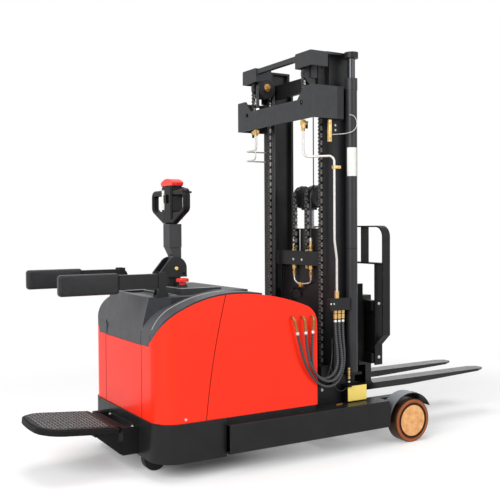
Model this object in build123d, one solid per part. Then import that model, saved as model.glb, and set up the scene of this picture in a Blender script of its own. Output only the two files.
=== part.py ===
from build123d import *
import os
from math import asin, cos, degrees, pi, radians, sin, tan

# Stand-on electric reach stacker, in millimetres: +X towards the fork tips, +Y to its left, +Z up, floor at 0.

# Clearances
FIT = 0.05            # radial clearance of pins and shafts in their bores
SEAT = 0.3            # gap between a piece and the moving piece beside it
PANEL_GAP = 2.0       # seam between two covers
SLIDE = 0.8           # side clearance of sliding tongues and rollers

# Stations along the truck, measured from the middle of its length
AXLE_X = 533.0
BODY_FRONT_X = -59.0
BODY_LENGTH = 853.0
BODY_REAR_X = BODY_FRONT_X - BODY_LENGTH
STEER_FROM_REAR = 272.0
STEER_X = BODY_REAR_X + STEER_FROM_REAR
MAST_SETBACK = 350.0
MAST_X = AXLE_X - MAST_SETBACK

# Load wheels and straddle legs
HALF_WIDTH = 474.0
LOAD_R = 115.0
LOAD_W = 76.0
LOAD_HUB_R = 84.0
LOAD_GROOVE = 7.0
LOAD_AXLE_R = 17.5
LOAD_CAP = 8.0
WHEEL_GAP = 6.0
LEG_Z0 = 100.0
LEG_Z1 = 238.0
LEG_AHEAD = 61.0           # legs start this far ahead of the steering axis
LEG_REAR_X = STEER_X + LEG_AHEAD
LEG_WALL = 6.0
RAIL_WEB = 10.0
RAIL_FLANGE_T = 14.0
RAIL_WIDTH = 46.0
RAIL_AHEAD = 105.0
RAIL_FRONT_X = AXLE_X + RAIL_AHEAD
RAIL_STOP = 12.0
RAIL_WEB_Y = HALF_WIDTH - LOAD_W - WHEEL_GAP
RAIL_IN_Y = RAIL_WEB_Y - RAIL_WIDTH
FENDER_R = 150.0
FENDER_T = 5.0
FENDER_SHIFT = 12.0
FENDER_REAR_DEG = 186.0
FENDER_FRONT_DEG = 28.0
LEG_FRONT_X = AXLE_X - FENDER_SHIFT - FENDER_R + FENDER_T / 2

# Covers and skirt
LEG_STEP = 40.0            # the covers stand this far inside the legs' outer faces
BODY_HALF_W = HALF_WIDTH - LEG_STEP
BODY_CORNER_R = 110.0
COVER_T = 4.0
COVER_Z0 = 264.0
COVER_TOP = 836.0
CROWN_R = 640.0
CROWN_DEG = 26.3
SHOULDER_R = 183.0
FRONT_CROWN_R = 1122.0
FRONT_CORNER_R = 100.0
ARCH_OVERHANG = 1.0        # the shoulder's arc ends this far behind the rear face
PANEL_SEAM_Y = 230.0
SIDE_SEAM_TOP = 65.0       # the bowed seam, measured ahead of the steering axis
SIDE_SEAM_MID = 7.0
SIDE_SEAM_LOW = 41.0
SIDE_SEAM_TOP_X = STEER_X + SIDE_SEAM_TOP
SIDE_SEAM_MID_X = STEER_X + SIDE_SEAM_MID
SIDE_SEAM_MID_Z = 589.0
SIDE_SEAM_LOW_X = STEER_X - SIDE_SEAM_LOW
SKIRT_GROW = 6.0
SKIRT_T = 6.0
SKIRT_Z0 = 85.0
CROWN_X = BODY_REAR_X - ARCH_OVERHANG + SHOULDER_R * (1 - sin(radians(CROWN_DEG))) + CROWN_R * sin(radians(CROWN_DEG))
SHOULDER_Z = (COVER_TOP - CROWN_R * (1 - cos(radians(CROWN_DEG)))
              - SHOULDER_R * cos(radians(CROWN_DEG)))
FRONT_DEG = degrees(asin((BODY_FRONT_X - CROWN_X - FRONT_CORNER_R) / (FRONT_CROWN_R - FRONT_CORNER_R)))
LID_AHEAD = 261.0
LID_SEAM_X = STEER_X + LID_AHEAD

# Dash, tray and console
DASH_LIFT = 8.0
DASH_T = 5.0
DASH_SINK = 12.0           # the dash's flat top lies this far below the crown of the covers
DASH_TOP_Z = COVER_TOP - DASH_SINK
DASH_REAR_TOP = 34.0      # how far the rear face leans forward at its top edge
DASH_KNEE_DROP = 126.0
DASH_KNEE_Z = COVER_TOP - DASH_KNEE_DROP
DASH_KNEE = 10.0
DASH_FLARE_Y = 300.0
DASH_FLARE_L = 122.0
DASH_FLARE_X = BODY_REAR_X + DASH_FLARE_L
DASH_RISE_X = STEER_X
TRAY_DEPTH = 12.0
TRAY_RIM = 26.0
TRAY_BACK = 72.0
TRAY_FRONT_X = STEER_X - TRAY_BACK
CONSOLE_BACK = 60.0
CONSOLE_AHEAD = 160.0
CONSOLE_X0 = STEER_X - CONSOLE_BACK
CONSOLE_X1 = STEER_X + CONSOLE_AHEAD
CONSOLE_HALF_W = 215.0
CONSOLE_PROUD = 20.0
CONSOLE_Z = COVER_TOP + CONSOLE_PROUD
CONSOLE_EDGE_R = 6.0
STOP_AHEAD = 3.0
STOP_X = STEER_X + STOP_AHEAD
STOP_Y = -105.0
STOP_R = 31.0
STOP_STEM_R = 17.0
STOP_H = 41.0
STOP_TOP_Z = CONSOLE_Z + STOP_H
STOP_HEAD_H = 17.0
STOP_TRAVEL = 5.0
STOP_COLLAR_R = 24.0
STOP_COLLAR_H = 10.0

# Chassis plates inside the covers
PLATE_T = 12.0
WALL_AHEAD = 180.0
WALL_X = STEER_X + WALL_AHEAD
DRIVE_PLATE_Z = 330.0
SLEW_HOLE_R = 95.0
SIDE_PLATE_IN = 34.0
SIDE_PLATE_Y = BODY_HALF_W - SIDE_PLATE_IN
FRAME_IN = 16.0
FRAME_REAR_X = BODY_REAR_X + FRAME_IN
FLOOR_HALF_W = BODY_HALF_W - COVER_T - PANEL_GAP
WALL_DROP = 56.0
WALL_TOP_Z = COVER_TOP - WALL_DROP
BULKHEAD_DROP = 181.0
BULKHEAD_TOP_Z = COVER_TOP - BULKHEAD_DROP
SILL_T = 7.0

# Drive unit and tiller
DRIVE_R = 125.0
DRIVE_W = 75.0
DRIVE_AXLE_R = 20.0
SLEW_R = 125.0
SLEW_T = 14.0
MOTOR_R = 78.0
MOTOR_Z1 = 600.0
NECK_R = 90.0
NECK_Z0 = 262.0
GEAR_Y0 = 48.0
GEAR_Y1 = 110.0
GEAR_R = 60.0
COLUMN_R = 28.0
TURRET_NECK_R = 40.0
TURRET_CLEAR = 3.0         # the turret passes this far above the stop button
TURRET_Z0 = STOP_TOP_Z + TURRET_CLEAR
TURRET_T = 10.0
EAR_T = 12.0
EAR_IN_Y = 33.0
EAR_REAR = 92.0
EAR_FRONT = 58.0
PIVOT_UP = 43.0
PIVOT_Z = TURRET_Z0 + PIVOT_UP
EAR_R = 57.0
TILLER_PIN_R = 10.0
ARM_BOX_D = 66.0
ARM_BOX_HALF_W = 41.0
ARM_BOX_LOW = 106.0        # the tiller arm's box, above its pivot
ARM_BOX_HIGH = 222.0
ARM_BOX_Z0 = PIVOT_Z + ARM_BOX_LOW
ARM_BOX_Z1 = PIVOT_Z + ARM_BOX_HIGH
ARM_BOSS_R = 42.0
ARM_WAIST_UP = 62.0
ARM_WAIST_Z = PIVOT_Z + ARM_WAIST_UP
ARM_WAIST_D = 44.0
HEAD_H = 181.0
HEAD_SHOULDER_UP = 63.0
HEAD_Z0 = ARM_BOX_Z1
HEAD_SHOULDER_Z = HEAD_Z0 + HEAD_SHOULDER_UP
HEAD_Z1 = HEAD_Z0 + HEAD_H
HEAD_HALF_W = 198.0
HEAD_BASE_HALF_W = 62.0
GRIP_D = 34.0
GRIP_BACK = 10.0          # the grips' plane behind the tiller's centre line
GRIP_BAR = 31.0
GRIP_TOP_DROP = 10.0
GRIP_ROUND = 34.0
GRIP_EDGE_R = 12.0
HEAD_CORE_HALF_W = 58.0
HEAD_CORE_D = 66.0
CORE_EDGE_R = 9.0
ARM_EDGE_R = 5.0
HEAD_CORE_UP = 23.0
HEAD_CORE_Z0 = HEAD_Z0 + HEAD_CORE_UP
BELLY_TRAVEL = 7.0
BELLY_GAP = BELLY_TRAVEL + PANEL_GAP
BELLY_D = 64.0
BELLY_HALF_W = 70.0
BELLY_EDGE = 8.0
BELLY_RISE = 45.0
BELLY_TOP_Z = HEAD_Z1 + BELLY_RISE
BELLY_STEM = 30.0
BELLY_STEM_L = 20.0
THROTTLE_OUT = 33.0       # shaft ahead of the tiller's centre line
THROTTLE_DROP = 24.0
THROTTLE_Z = HEAD_Z1 - THROTTLE_DROP
THROTTLE_R = 20.0
THROTTLE_SHAFT_R = 6.0
THROTTLE_WING_Y0 = 60.0
THROTTLE_WING_Y1 = 94.0
THROTTLE_LEVER = 30.0
THROTTLE_LEVER_T = 10.0
THROTTLE_HOUSE_R = 26.0
ROCKER_DROP = 56.0
ROCKER_Z = HEAD_Z1 - ROCKER_DROP
ROCKER_H = 44.0
ROCKER_HALF_W = 14.0
ROCKER_PROUD = 8.0
ROCKER_T = 11.0
ROCKER_POCKET = 8.0

# Swivel casters
CASTER_FROM_REAR = 112.0
CASTER_Y = 185.0
CASTER_X = BODY_REAR_X + CASTER_FROM_REAR
CASTER_R = 57.5
CASTER_W = 44.0
CASTER_TRAIL = 34.0
CASTER_PLATE_Z = 172.0
CASTER_DISC_R = 40.0
CASTER_DISC_T = 12.0
CASTER_CHEEK_T = 6.0
CASTER_CHEEK_W = 34.0
CASTER_STEM_R = 12.0
CASTER_AXLE_R = 8.0

# Platform
HINGE_BACK = 63.0
HINGE_X = BODY_REAR_X - HINGE_BACK
HINGE_Z = 200.0
HINGE_PIN_R = 9.0
KNUCKLE_R = 18.0
BRACKET_Y0 = 165.0
BRACKET_Y1 = 205.0
BRACKET_REAR = 23.0
BRACKET_TOP = 22.0
BRACKET_Z0 = 95.0
PLATFORM_HALF_W = 205.0
PLATFORM_L = 411.2
PLATFORM_T = 24.0
PLATFORM_TOP = 24.0       # top face above the hinge pin
PLATFORM_TILT = 5.0
PLATFORM_CORNER_R = 120.0
PLATFORM_NOTCH = 40.0
PLATFORM_BULGE = 22.0
MAT_T = 5.0
MAT_EDGE = 12.0
GUSSET_T = 8.0
GUSSET_L = 155.0
GUSSET_FOOT = 60.0

# Side arms
ARM_FROM_REAR = 92.0
ARM_X = BODY_REAR_X + ARM_FROM_REAR
ARM_Y = 252.0
ARM_UP = 76.0
ARM_Z = DASH_TOP_Z + ARM_UP
ARM_T = 32.0
ARM_H = 67.0
ARM_PIN_R = 8.0
ARM_BEAM_L = 210.0
ARM_TONGUE_L = 240.0
ARM_TONGUE_H = 30.0
ARM_TONGUE_T = 20.0
PAD_L = 278.0
PAD_H = 95.0
PAD_T = 50.0
PAD_END_R = 22.0
PAD_EDGE_R = 10.0
PAD_DROP = 5.0
POST_CHEEK_T = 6.0
POST_W = 36.0
POST_TOP = 41.0
POST_FOOT_L = 60.0
POST_FOOT_T = 8.0

# Mast rails, seen from above, as three nested channels
STAGE_STEP = 38.5         # from one stage's web to the next
STAGE_GAP = 1.5
MAST_SIDE_GAP = 8.0        # between the outer rail and the leg's reach rail
OUTER_WEB_Y = RAIL_IN_Y - MAST_SIDE_GAP
WEB_T = 10.0
FLANGE_T = 14.0
OUTER_DEPTH = 134.0
STAGE_NARROW = 2.0        # each stage's rails stand this far inside the last, front and rear
MAST_HEIGHT = 2040.0       # closed height, the top of the truck
OUTER_DROP = 179.0
OUTER_Z0 = 95.0
OUTER_Z1 = MAST_HEIGHT - OUTER_DROP
MIDDLE_Z0 = 100.0
INNER_Z0 = 105.0
INNER_DROP = 85.0
INNER_Z1 = MAST_HEIGHT - INNER_DROP
ROLLER_W = 24.0
ROLLER_PIN_R = 14.0
ROLLER_PITCH = 300.0
ROLLER_LOW = 80.0

# Top crossbeam of the outer mast
BEAM_REAR_X = -38.0
BEAM_T = 10.0
BEAM_OUT = 36.5
BEAM_HALF_W = OUTER_WEB_Y + BEAM_OUT
BEAM_H = 165.0
BEAM_Z0 = OUTER_Z1 - BEAM_H
BEAM_MID_H = 103.0
BEAM_END_L = 80.0
BEAM_SLOPE_L = 61.0
BEAM_SIDE_L = 192.0
BEAM_SIDE_T = 8.5
BEAM_HOLE_R = 13.0
BEAM_HOLE_IN = 102.0
BEAM_HOLE_UP = 85.0
ANCHOR_SHELF_UP = 44.0
ANCHOR_SHELF_T = 14.0

# Cap of the middle mast and its chain sheaves
CAP_REAR_X = -24.0
CAP_OUT = 4.6
CAP_HALF_W = OUTER_WEB_Y + CAP_OUT
CAP_H = 77.0
CAP_Z0 = MAST_HEIGHT - CAP_H
CAP_Z1 = MAST_HEIGHT
CAP_L = 103.0
CAP_BLOCK_W = 146.6
CAP_IN_Y = CAP_HALF_W - CAP_BLOCK_W
CAP_T = 7.0
CAP_TOP_T = 12.0
CAP_BAR_T = 26.0
SHEAVE_X = 45.0
SHEAVE_IN = 89.0
SHEAVE_DROP = 28.0
SHEAVE_Y = OUTER_WEB_Y - SHEAVE_IN
SHEAVE_Z = CAP_Z0 - SHEAVE_DROP
SHEAVE_R = 58.0
SHEAVE_PITCH_R = 52.0
SHEAVE_W = 34.0
SHEAVE_PIN_R = 14.0
SHEAVE_EAR_T = 8.0
SHEAVE_EAR_W = 44.0
MIDDLE_TIE_X = 62.0
MIDDLE_TIE_Z0 = 300.0
MIDDLE_TIE_H = 120.0

# Lift cylinders beside the rails
CYL_X = 206.0
CYL_GAP = 3.0
CYL_R = 30.0
CYL_WALL = 6.0
CYL_Y = OUTER_WEB_Y + CYL_GAP + CYL_R
CYL_Z0 = 392.0
CYL_DROP = 133.0
CYL_Z1 = MAST_HEIGHT - CYL_DROP
CYL_GLAND_H = 60.0
CYL_GLAND_GROW = 2.0
ROD_R = 20.0
ROD_Z0 = 430.0
ROD_CAP_R = 36.0
ROD_CAP_T = 30.0

# Reach carriage, its rollers and cylinder
REACH_PLATE_T = 6.0
REACH_X0 = -150.0
REACH_X1 = 275.0
REACH_STEP_X = -40.0
REACH_Z0 = 110.0
REACH_LOW_Z = 228.0
REACH_Z1 = 330.0
REACH_ROLLER_X0 = -88.0
REACH_ROLLER_X1 = 205.0
REACH_ROLLER_W = 30.0
REACH_ROLLER_PIN_R = 15.0
REACH_TIE_T = 20.0
REACH_TIE_Z0 = 120.0
REACH_TIE_Z1 = 220.0
MAST_TIE_X = 40.0
MAST_TIE_Z1 = 290.0
RAM_Z = 170.0
RAM_R = 28.0
RAM_BORE_R = 20.0
RAM_ROD_R = 15.0
RAM_FRONT_X = 10.0
RAM_END_T = 30.0
FOOT_Z = 380.0
FOOT_T = 12.0
FOOT_HALF_L = 42.0
YELLOW_X0 = 164.0
YELLOW_L = 125.0
YELLOW_Z0 = 242.0
YELLOW_H = 80.0
YELLOW_Y1 = RAIL_WEB_Y - PANEL_GAP
YELLOW_EDGE_R = 3.0

# Manifold, pipes and hose ends on the outer mast
MANIFOLD_X0 = 46.0
MANIFOLD_L = 124.0
MANIFOLD_Z0 = 720.0
MANIFOLD_H = 62.0
MANIFOLD_OUT = 38.0
MANIFOLD_Y0 = OUTER_WEB_Y + MANIFOLD_OUT
MANIFOLD_T = 28.0
MANIFOLD_FOOT = 46.0
HOSE_X0 = 85.0
HOSE_STEP = 24.0
HOSE_TOP_Z = 672.0
HOSE_D = 14.6
FITTING_R = 9.5
PIPE_R = 6.0
PIPE_X0 = -20.0
PIPE_IN = 76.0
PIPE_Y0 = OUTER_WEB_Y - PIPE_IN
PIPE_X1 = 96.0
PIPE_DROP = 190.0
PIPE_Z_TURN = BEAM_Z0 - PIPE_DROP
PIPE_BEND_R = 30.0
PIPE_JOG = 14.0
PIPE_JOG_Z0 = 980.0
PIPE_JOG_Z1 = 1080.0
FAR_PIPE_R = 4.0          # two thin pipes from the left end of the beam to the left rail
FAR_PIPE_Y = 205.0
FAR_PIPE_STEP = 6.0
FAR_PIPE_OUT = 20.0
FAR_PIPE_DROPS = (116.0, 170.0)
FAR_BEND_R = 22.0
NUT_H = 36.0
NUT_R = 11.0
ELBOW_Z = 706.0
ELBOW_R = 7.0
ELBOW_BEND_R = 16.0

# Inner mast, free-lift cylinder and its sheaves
BAR_Z0 = 937.0
BAR_H = 77.0
INNER_HEAD_H = 80.0
BAR_T = 23.0
BAR_BOSS = 13.0
INNER_TIE_T = 24.0
INNER_FOOT_Z1 = 130.0
HOOK_Z0 = 150.0
HOOK_Z1 = 200.0
FREE_X = 200.0
FREE_R = 37.0
FREE_WALL = 6.0
FREE_Z1 = 1134.0
FREE_ROD_R = 28.0
FREE_ROD_Z0 = 240.0
YOKE_Z0 = 1240.0
YOKE_HALF_W = 40.0
YOKE_D = 50.0
FREE_SHEAVE_Y = 58.0
FREE_SHEAVE_Z = 1310.0
FREE_SHEAVE_R = 60.0
FREE_PITCH_R = 56.0
FREE_SHEAVE_W = 34.0
FREE_PIN_R = 14.0

# Chains
CHAIN_PITCH = 19.05
CHAIN_HALF_W = 10.0
CHAIN_W = 16.0           # half the width of what a chain is fixed to
CHAIN_D = 18.0
CHAIN_WAIST = 12.0

# Fork carriage, backrest and forks; the forks stand this far above their lowest place
CARRIAGE_PLATE_T = 16.0
CARRIAGE_X0 = 150.0
CARRIAGE_Z0 = 404.0
CARRIAGE_Z1 = 790.0
CARRIAGE_ROLLER_LOW = 76.0
CARRIAGE_ROLLER_PITCH = 262.0
BAR_X0 = 405.0
FORK_BAR_T = 40.0
FORK_BAR_H = 55.0
LOW_BAR_Z0 = 404.0
TOP_BAR_Z0 = 690.0
FORK_BAR_IN = 48.0
FORK_BAR_HALF_L = OUTER_WEB_Y - FORK_BAR_IN
FORK_FACE_X = 485.0
FORK_TIP_X = 1385.0
FORK_W = 100.0
FORK_T = 35.0
FORK_TIP_T = 12.0
FORK_TOP_Z = 273.0
FORK_OUT_Y = 188.0
FORK_SHANK_T = 40.0
FORK_TAPER_L = 620.0
FORK_TIP_CUT = 26.0
FORK_TIP_L = 60.0
HOOK_T = 22.0
HOOK_LIP = 6.0
HOOK_DROP = 25.0
STRIP_T = 8.0
STRIP_D = 50.0
STRIP_X0 = 423.0
STRIP_LOW_Y = FORK_BAR_HALF_L + STRIP_T / 2
STRIP_OUT = 20.0
STRIP_HIGH_Y = OUTER_WEB_Y + STRIP_OUT
STRIP_Z0 = 395.0
STRIP_JOG_Z0 = 505.0
STRIP_JOG_Z1 = 563.0
STRIP_TOP_Z = 1151.0
STRIP_CORNER_R = 60.0
STRIP_MID_Z = 946.0
STRIP_BAR_Y = 180.0
LUG_Z1 = 835.0

# Battery and power pack
BATTERY_SIDE = 104.0
BATTERY_HALF_W = BODY_HALF_W - BATTERY_SIDE
BATTERY_GAP = 12.0
BATTERY_DROP = 146.0
BATTERY_TOP_Z = COVER_TOP - BATTERY_DROP
TANK_Y0 = 180.0
TANK_FROM_REAR = 62.0
TANK_BACK = 60.0
TANK_X0 = BODY_REAR_X + TANK_FROM_REAR
TANK_X1 = WALL_X - TANK_BACK
TANK_Z1 = 560.0
PUMP_R = 65.0
PUMP_IN = 110.0
PUMP_FROM_REAR = 92.0
PUMP_BACK = 100.0
PUMP_Y = PUMP_IN - SIDE_PLATE_Y
PUMP_X0 = BODY_REAR_X + PUMP_FROM_REAR
PUMP_X1 = WALL_X - PUMP_BACK
CONTROLLER_T = 58.0
CONTROLLER_Z0 = 400.0
CONTROLLER_H = 230.0
CONTROLLER_IN = 10.0
CONTROLLER_W = 240.0
CONTROLLER_Y0 = CONTROLLER_IN - SIDE_PLATE_Y
CONTROLLER_Y1 = CONTROLLER_Y0 + CONTROLLER_W

# Routes of the three hoses, from the elbows on the right cover to the manifold: along the truck, in from the
# right leg's outer face, and up
HOSE_ROUTES = [
    [(-196, 15, 636), (-174, 16, 545), (-140, 17, 460), (-86, 20, 386), (-21, 26, 348),
     (54, 35, 352), (106, 47, 411), (130, 65, 498), (133, 84, 585), (133, 84, 672)],
    [(-147, 14, 636), (-140, 13, 545), (-118, 13, 466), (-73, 13, 404), (-4, 18, 372),
     (58, 27, 388), (95, 38, 440), (106, 60, 515), (109, 84, 600), (109, 84, 672)],
    [(-98, 22, 636), (-103, 27, 545), (-97, 30, 447), (-64, 30, 403), (-12, 31, 386),
     (40, 38, 403), (73, 46, 447), (81, 64, 532), (85, 84, 610), (85, 84, 672)],
]


def hose_points(i):
    return [Vector(x, inset - HALF_WIDTH, z) for x, inset, z in HOSE_ROUTES[i]]


# Helpers
def block(x, y, z):
    """A box between two planes each way."""
    middle = Pos((x[0] + x[1]) / 2, (y[0] + y[1]) / 2, (z[0] + z[1]) / 2)
    return middle * Box(abs(x[1] - x[0]), abs(y[1] - y[0]), abs(z[1] - z[0]))


def prism_xz(face, y0, y1):
    """A side-view outline pulled across the truck."""
    return Pos(0, max(y0, y1), 0) * extrude(Plane.XZ * face, abs(y1 - y0))


def prism_xy(face, z0, z1):
    """A plan outline pulled upwards."""
    return Pos(0, 0, z0) * extrude(face, z1 - z0)


def prism_yz(face, x0, x1):
    """A front-view outline pulled along the truck."""
    return Pos(x0, 0, 0) * extrude(Plane.YZ * face, x1 - x0)


def polygon(points):
    return make_face(Polyline(*points, close=True))


def rod_x(y, z, r, x0, x1):
    return Pos((x0 + x1) / 2, y, z) * Rot(0, 90, 0) * Cylinder(r, x1 - x0)


def rod_y(x, z, r, y0, y1):
    return Pos(x, (y0 + y1) / 2, z) * Rot(90, 0, 0) * Cylinder(r, abs(y1 - y0))


def rod_z(x, y, r, z0, z1):
    return Pos(x, y, (z0 + z1) / 2) * Cylinder(r, z1 - z0)


def mirrored(shape):
    return mirror(shape, about=Plane.XZ)


def both(shape):
    """The piece and its twin on the other side of the truck."""
    return [shape, mirrored(shape)]


def save(node, *pieces):
    solids = []
    for piece in pieces:
        for part in piece if isinstance(piece, list) else [piece]:
            solids.extend(part.solids())
    whole = solids[0] if len(solids) == 1 else Compound(children=solids)
    export_step(whole, os.path.join("parts", node + ".step"))


# Shared outlines
def body_plan(grow, front_x):
    """Plan of the covers: square in front, round at the two rear corners."""
    length = front_x - BODY_REAR_X + grow
    centre = front_x - length / 2
    sheet = Pos(centre, 0) * Rectangle(length, 2 * (BODY_HALF_W + grow))
    return fillet(sheet.vertices().sort_by(Axis.X)[:2], BODY_CORNER_R + grow)


def arch(lift):
    """Side view of the covers: rear shoulder, crown, and the falling front with its round corner."""
    crown = (CROWN_X, COVER_TOP + lift)
    rear_crown = JernArc(crown, (-1, 0), CROWN_R + lift, CROWN_DEG)
    shoulder = JernArc(rear_crown @ 1, rear_crown % 1, SHOULDER_R + lift, 90 - CROWN_DEG)
    front_crown = JernArc(crown, (1, 0), FRONT_CROWN_R + lift, -FRONT_DEG)
    corner = JernArc(front_crown @ 1, front_crown % 1, FRONT_CORNER_R + lift, FRONT_DEG - 90)
    foot_z = LEG_Z0
    base = Polyline(shoulder @ 1, ((shoulder @ 1).X, foot_z), ((corner @ 1).X, foot_z), corner @ 1)
    return make_face(Curve() + [rear_crown, shoulder, front_crown, corner, base])


def dash_outline(shrink):
    """Side view of the dash between its shoulders; shrink moves its skin inwards."""
    rear = BODY_REAR_X + shrink
    top = DASH_TOP_Z - shrink
    crown = COVER_TOP + DASH_LIFT - shrink
    return polygon([
        (rear, SHOULDER_Z), (rear + DASH_KNEE, DASH_KNEE_Z), (rear + DASH_REAR_TOP, top),
        (DASH_RISE_X, top), (CROWN_X - shrink, crown), (LID_SEAM_X - shrink, crown), (LID_SEAM_X - shrink, SHOULDER_Z)])


def dash_plan(shrink):
    rear = BODY_REAR_X - PANEL_GAP
    inside = BODY_REAR_X + COVER_T + SEAT
    seam = PANEL_SEAM_Y - shrink
    flare = DASH_FLARE_Y - shrink
    return polygon([
        (rear, -seam), (inside, -seam), (DASH_FLARE_X, -flare), (LID_SEAM_X, -flare),
        (LID_SEAM_X, flare), (DASH_FLARE_X, flare), (inside, seam), (rear, seam)])


# Stage sizes of the nested mast: 0 outer, 1 middle, 2 inner
def stage_web_y(stage):
    return OUTER_WEB_Y - stage * STAGE_STEP


def stage_depth(stage):
    return OUTER_DEPTH - 2 * STAGE_NARROW * stage


def stage_rail(stage, z0, z1):
    """The right-hand channel of one stage, open towards the middle of the mast."""
    out = stage_web_y(stage)
    tip = out - STAGE_STEP + STAGE_GAP
    half = stage_depth(stage) / 2
    skin = block((MAST_X - half, MAST_X + half), (-out, -tip), (z0, z1))
    hollow = block((MAST_X - half + FLANGE_T, MAST_X + half - FLANGE_T), (WEB_T - out, 1 - tip), (z0 - 1, z1 + 1))
    return skin - hollow


def roller_radius(stage):
    """Radius of a roller that runs between the flanges of a stage."""
    return stage_depth(stage) / 2 - FLANGE_T - SLIDE / 2


def stage_roller(stage, z, root_y):
    """A roller in the right-hand channel of a stage, and the pin on which it turns."""
    outer = stage_web_y(stage) - WEB_T - SLIDE
    inner = outer - ROLLER_W
    pin = rod_y(MAST_X, z, ROLLER_PIN_R, -outer, -root_y)
    roller = rod_y(MAST_X, z, roller_radius(stage), -outer, -inner)
    return pin, roller - rod_y(MAST_X, z, ROLLER_PIN_R + FIT, -outer - 1, -inner + 1)


# Chassis
def fender():
    centre = (AXLE_X - FENDER_SHIFT, LOAD_R)
    rear = FENDER_REAR_DEG
    sweep = FENDER_REAR_DEG - FENDER_FRONT_DEG
    outer = CenterArc(centre, FENDER_R, rear, -sweep)
    inner = CenterArc(centre, FENDER_R - FENDER_T, rear, -sweep)
    sheet = make_face(Curve() + [outer, inner, Line(outer @ 0, inner @ 0), Line(outer @ 1, inner @ 1)])
    return prism_xz(sheet, -HALF_WIDTH, -RAIL_WEB_Y)


def leg():
    """Right leg: a boxed beam outside and the reach rail inside, which runs on past the wheel."""
    rail = block((LEG_REAR_X, RAIL_FRONT_X), (-RAIL_WEB_Y, -RAIL_IN_Y), (LEG_Z0, LEG_Z1))
    rail -= block((LEG_REAR_X - 1, RAIL_FRONT_X - RAIL_STOP), (RAIL_WEB - RAIL_WEB_Y, 1 - RAIL_IN_Y),
                  (LEG_Z0 + RAIL_FLANGE_T, LEG_Z1 - RAIL_FLANGE_T))
    beam = block((LEG_REAR_X, LEG_FRONT_X), (-HALF_WIDTH, -RAIL_WEB_Y), (LEG_Z0, LEG_Z1))
    beam = fillet(beam.edges().filter_by(Axis.X).group_by(Axis.Y)[0], LEG_WALL)
    beam -= block((LEG_REAR_X - 1, LEG_FRONT_X - LEG_WALL), (LEG_WALL - HALF_WIDTH, -RAIL_WEB_Y - LEG_WALL),
                  (LEG_Z0 + LEG_WALL, LEG_Z1 - LEG_WALL))
    return rail + beam + fender()


def load_axle():
    return rod_y(AXLE_X, LOAD_R, LOAD_AXLE_R, -RAIL_WEB_Y + RAIL_WEB, LOAD_CAP - HALF_WIDTH)


def side_plate():
    """Plate behind the leg, stepped over the leg's rear end."""
    out = (-SIDE_PLATE_Y - LEG_WALL, -SIDE_PLATE_Y)
    plate = block((FRAME_REAR_X, LEG_REAR_X), out, (LEG_Z0, DRIVE_PLATE_Z))
    return plate + block((LEG_REAR_X, WALL_X), out, (LEG_Z1, DRIVE_PLATE_Z))


def caster_plate():
    plate = block((CASTER_X - 2 * CASTER_DISC_R, CASTER_X + 2 * CASTER_DISC_R),
                  (-SIDE_PLATE_Y, CASTER_DISC_R + CASTER_DISC_T - CASTER_Y),
                  (CASTER_PLATE_Z, CASTER_PLATE_Z + PLATE_T))
    return plate - rod_z(CASTER_X, -CASTER_Y, CASTER_STEM_R + FIT, 0, COVER_Z0)


def chassis_frame():
    """Weldment: two legs, the plates round the drive unit, and the battery's wall, floor, bulkhead and sills."""
    axle_hole = rod_y(AXLE_X, LOAD_R, LOAD_AXLE_R, -HALF_WIDTH, -RAIL_IN_Y)
    plates = both(leg() - axle_hole)
    rear = both(side_plate()) + both(caster_plate())
    rear.append(block((FRAME_REAR_X, FRAME_REAR_X + LEG_WALL), (-SIDE_PLATE_Y, SIDE_PLATE_Y), (LEG_Z0, DRIVE_PLATE_Z)))
    drive_plate = block((FRAME_REAR_X, WALL_X), (-SIDE_PLATE_Y - LEG_WALL, SIDE_PLATE_Y + LEG_WALL),
                        (DRIVE_PLATE_Z, DRIVE_PLATE_Z + PLATE_T))
    rear.append(drive_plate - rod_z(STEER_X, 0, SLEW_HOLE_R, 0, COVER_TOP))
    within = prism_xy(body_plan(-2 * COVER_T, BODY_FRONT_X), LEG_Z0, COVER_TOP)
    plates += [plate & within for plate in rear]
    front = BODY_FRONT_X - LEG_WALL
    half = FLOOR_HALF_W - SILL_T
    plates += both(block((LEG_REAR_X, front), (-FLOOR_HALF_W, -half), (LEG_Z1, COVER_Z0)))
    plates.append(block((WALL_X, WALL_X + PLATE_T), (-RAIL_IN_Y, RAIL_IN_Y), (LEG_Z0, LEG_Z1)))
    plates.append(block((WALL_X, WALL_X + PLATE_T), (-half, half), (LEG_Z1, WALL_TOP_Z)))
    plates.append(block((WALL_X + PLATE_T, front - PLATE_T), (-half, half), (LEG_Z1, LEG_Z1 + PLATE_T)))
    plates.append(block((front - PLATE_T, front), (-half, half), (LEG_Z1, BULKHEAD_TOP_Z)))
    return plates


# Covers
def cover_ring():
    ring = body_plan(0, BODY_FRONT_X) - body_plan(-COVER_T, BODY_FRONT_X + 1)
    wall = prism_xy(ring, COVER_Z0, COVER_TOP + 1)
    return wall & prism_xz(arch(0), -HALF_WIDTH, HALF_WIDTH)


def ahead_of_seam(shift):
    """Everything in front of the bowed seam in the side covers."""
    top = (SIDE_SEAM_TOP_X + shift, COVER_TOP + DASH_LIFT)
    low = (SIDE_SEAM_LOW_X + shift, COVER_Z0 - 1)
    seam = ThreePointArc(top, (SIDE_SEAM_MID_X + shift, SIDE_SEAM_MID_Z), low)
    rest = Polyline(low, (0, low[1]), (0, top[1]), top)
    return prism_xz(make_face(Curve() + [seam, rest]), -HALF_WIDTH, HALF_WIDTH)


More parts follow.
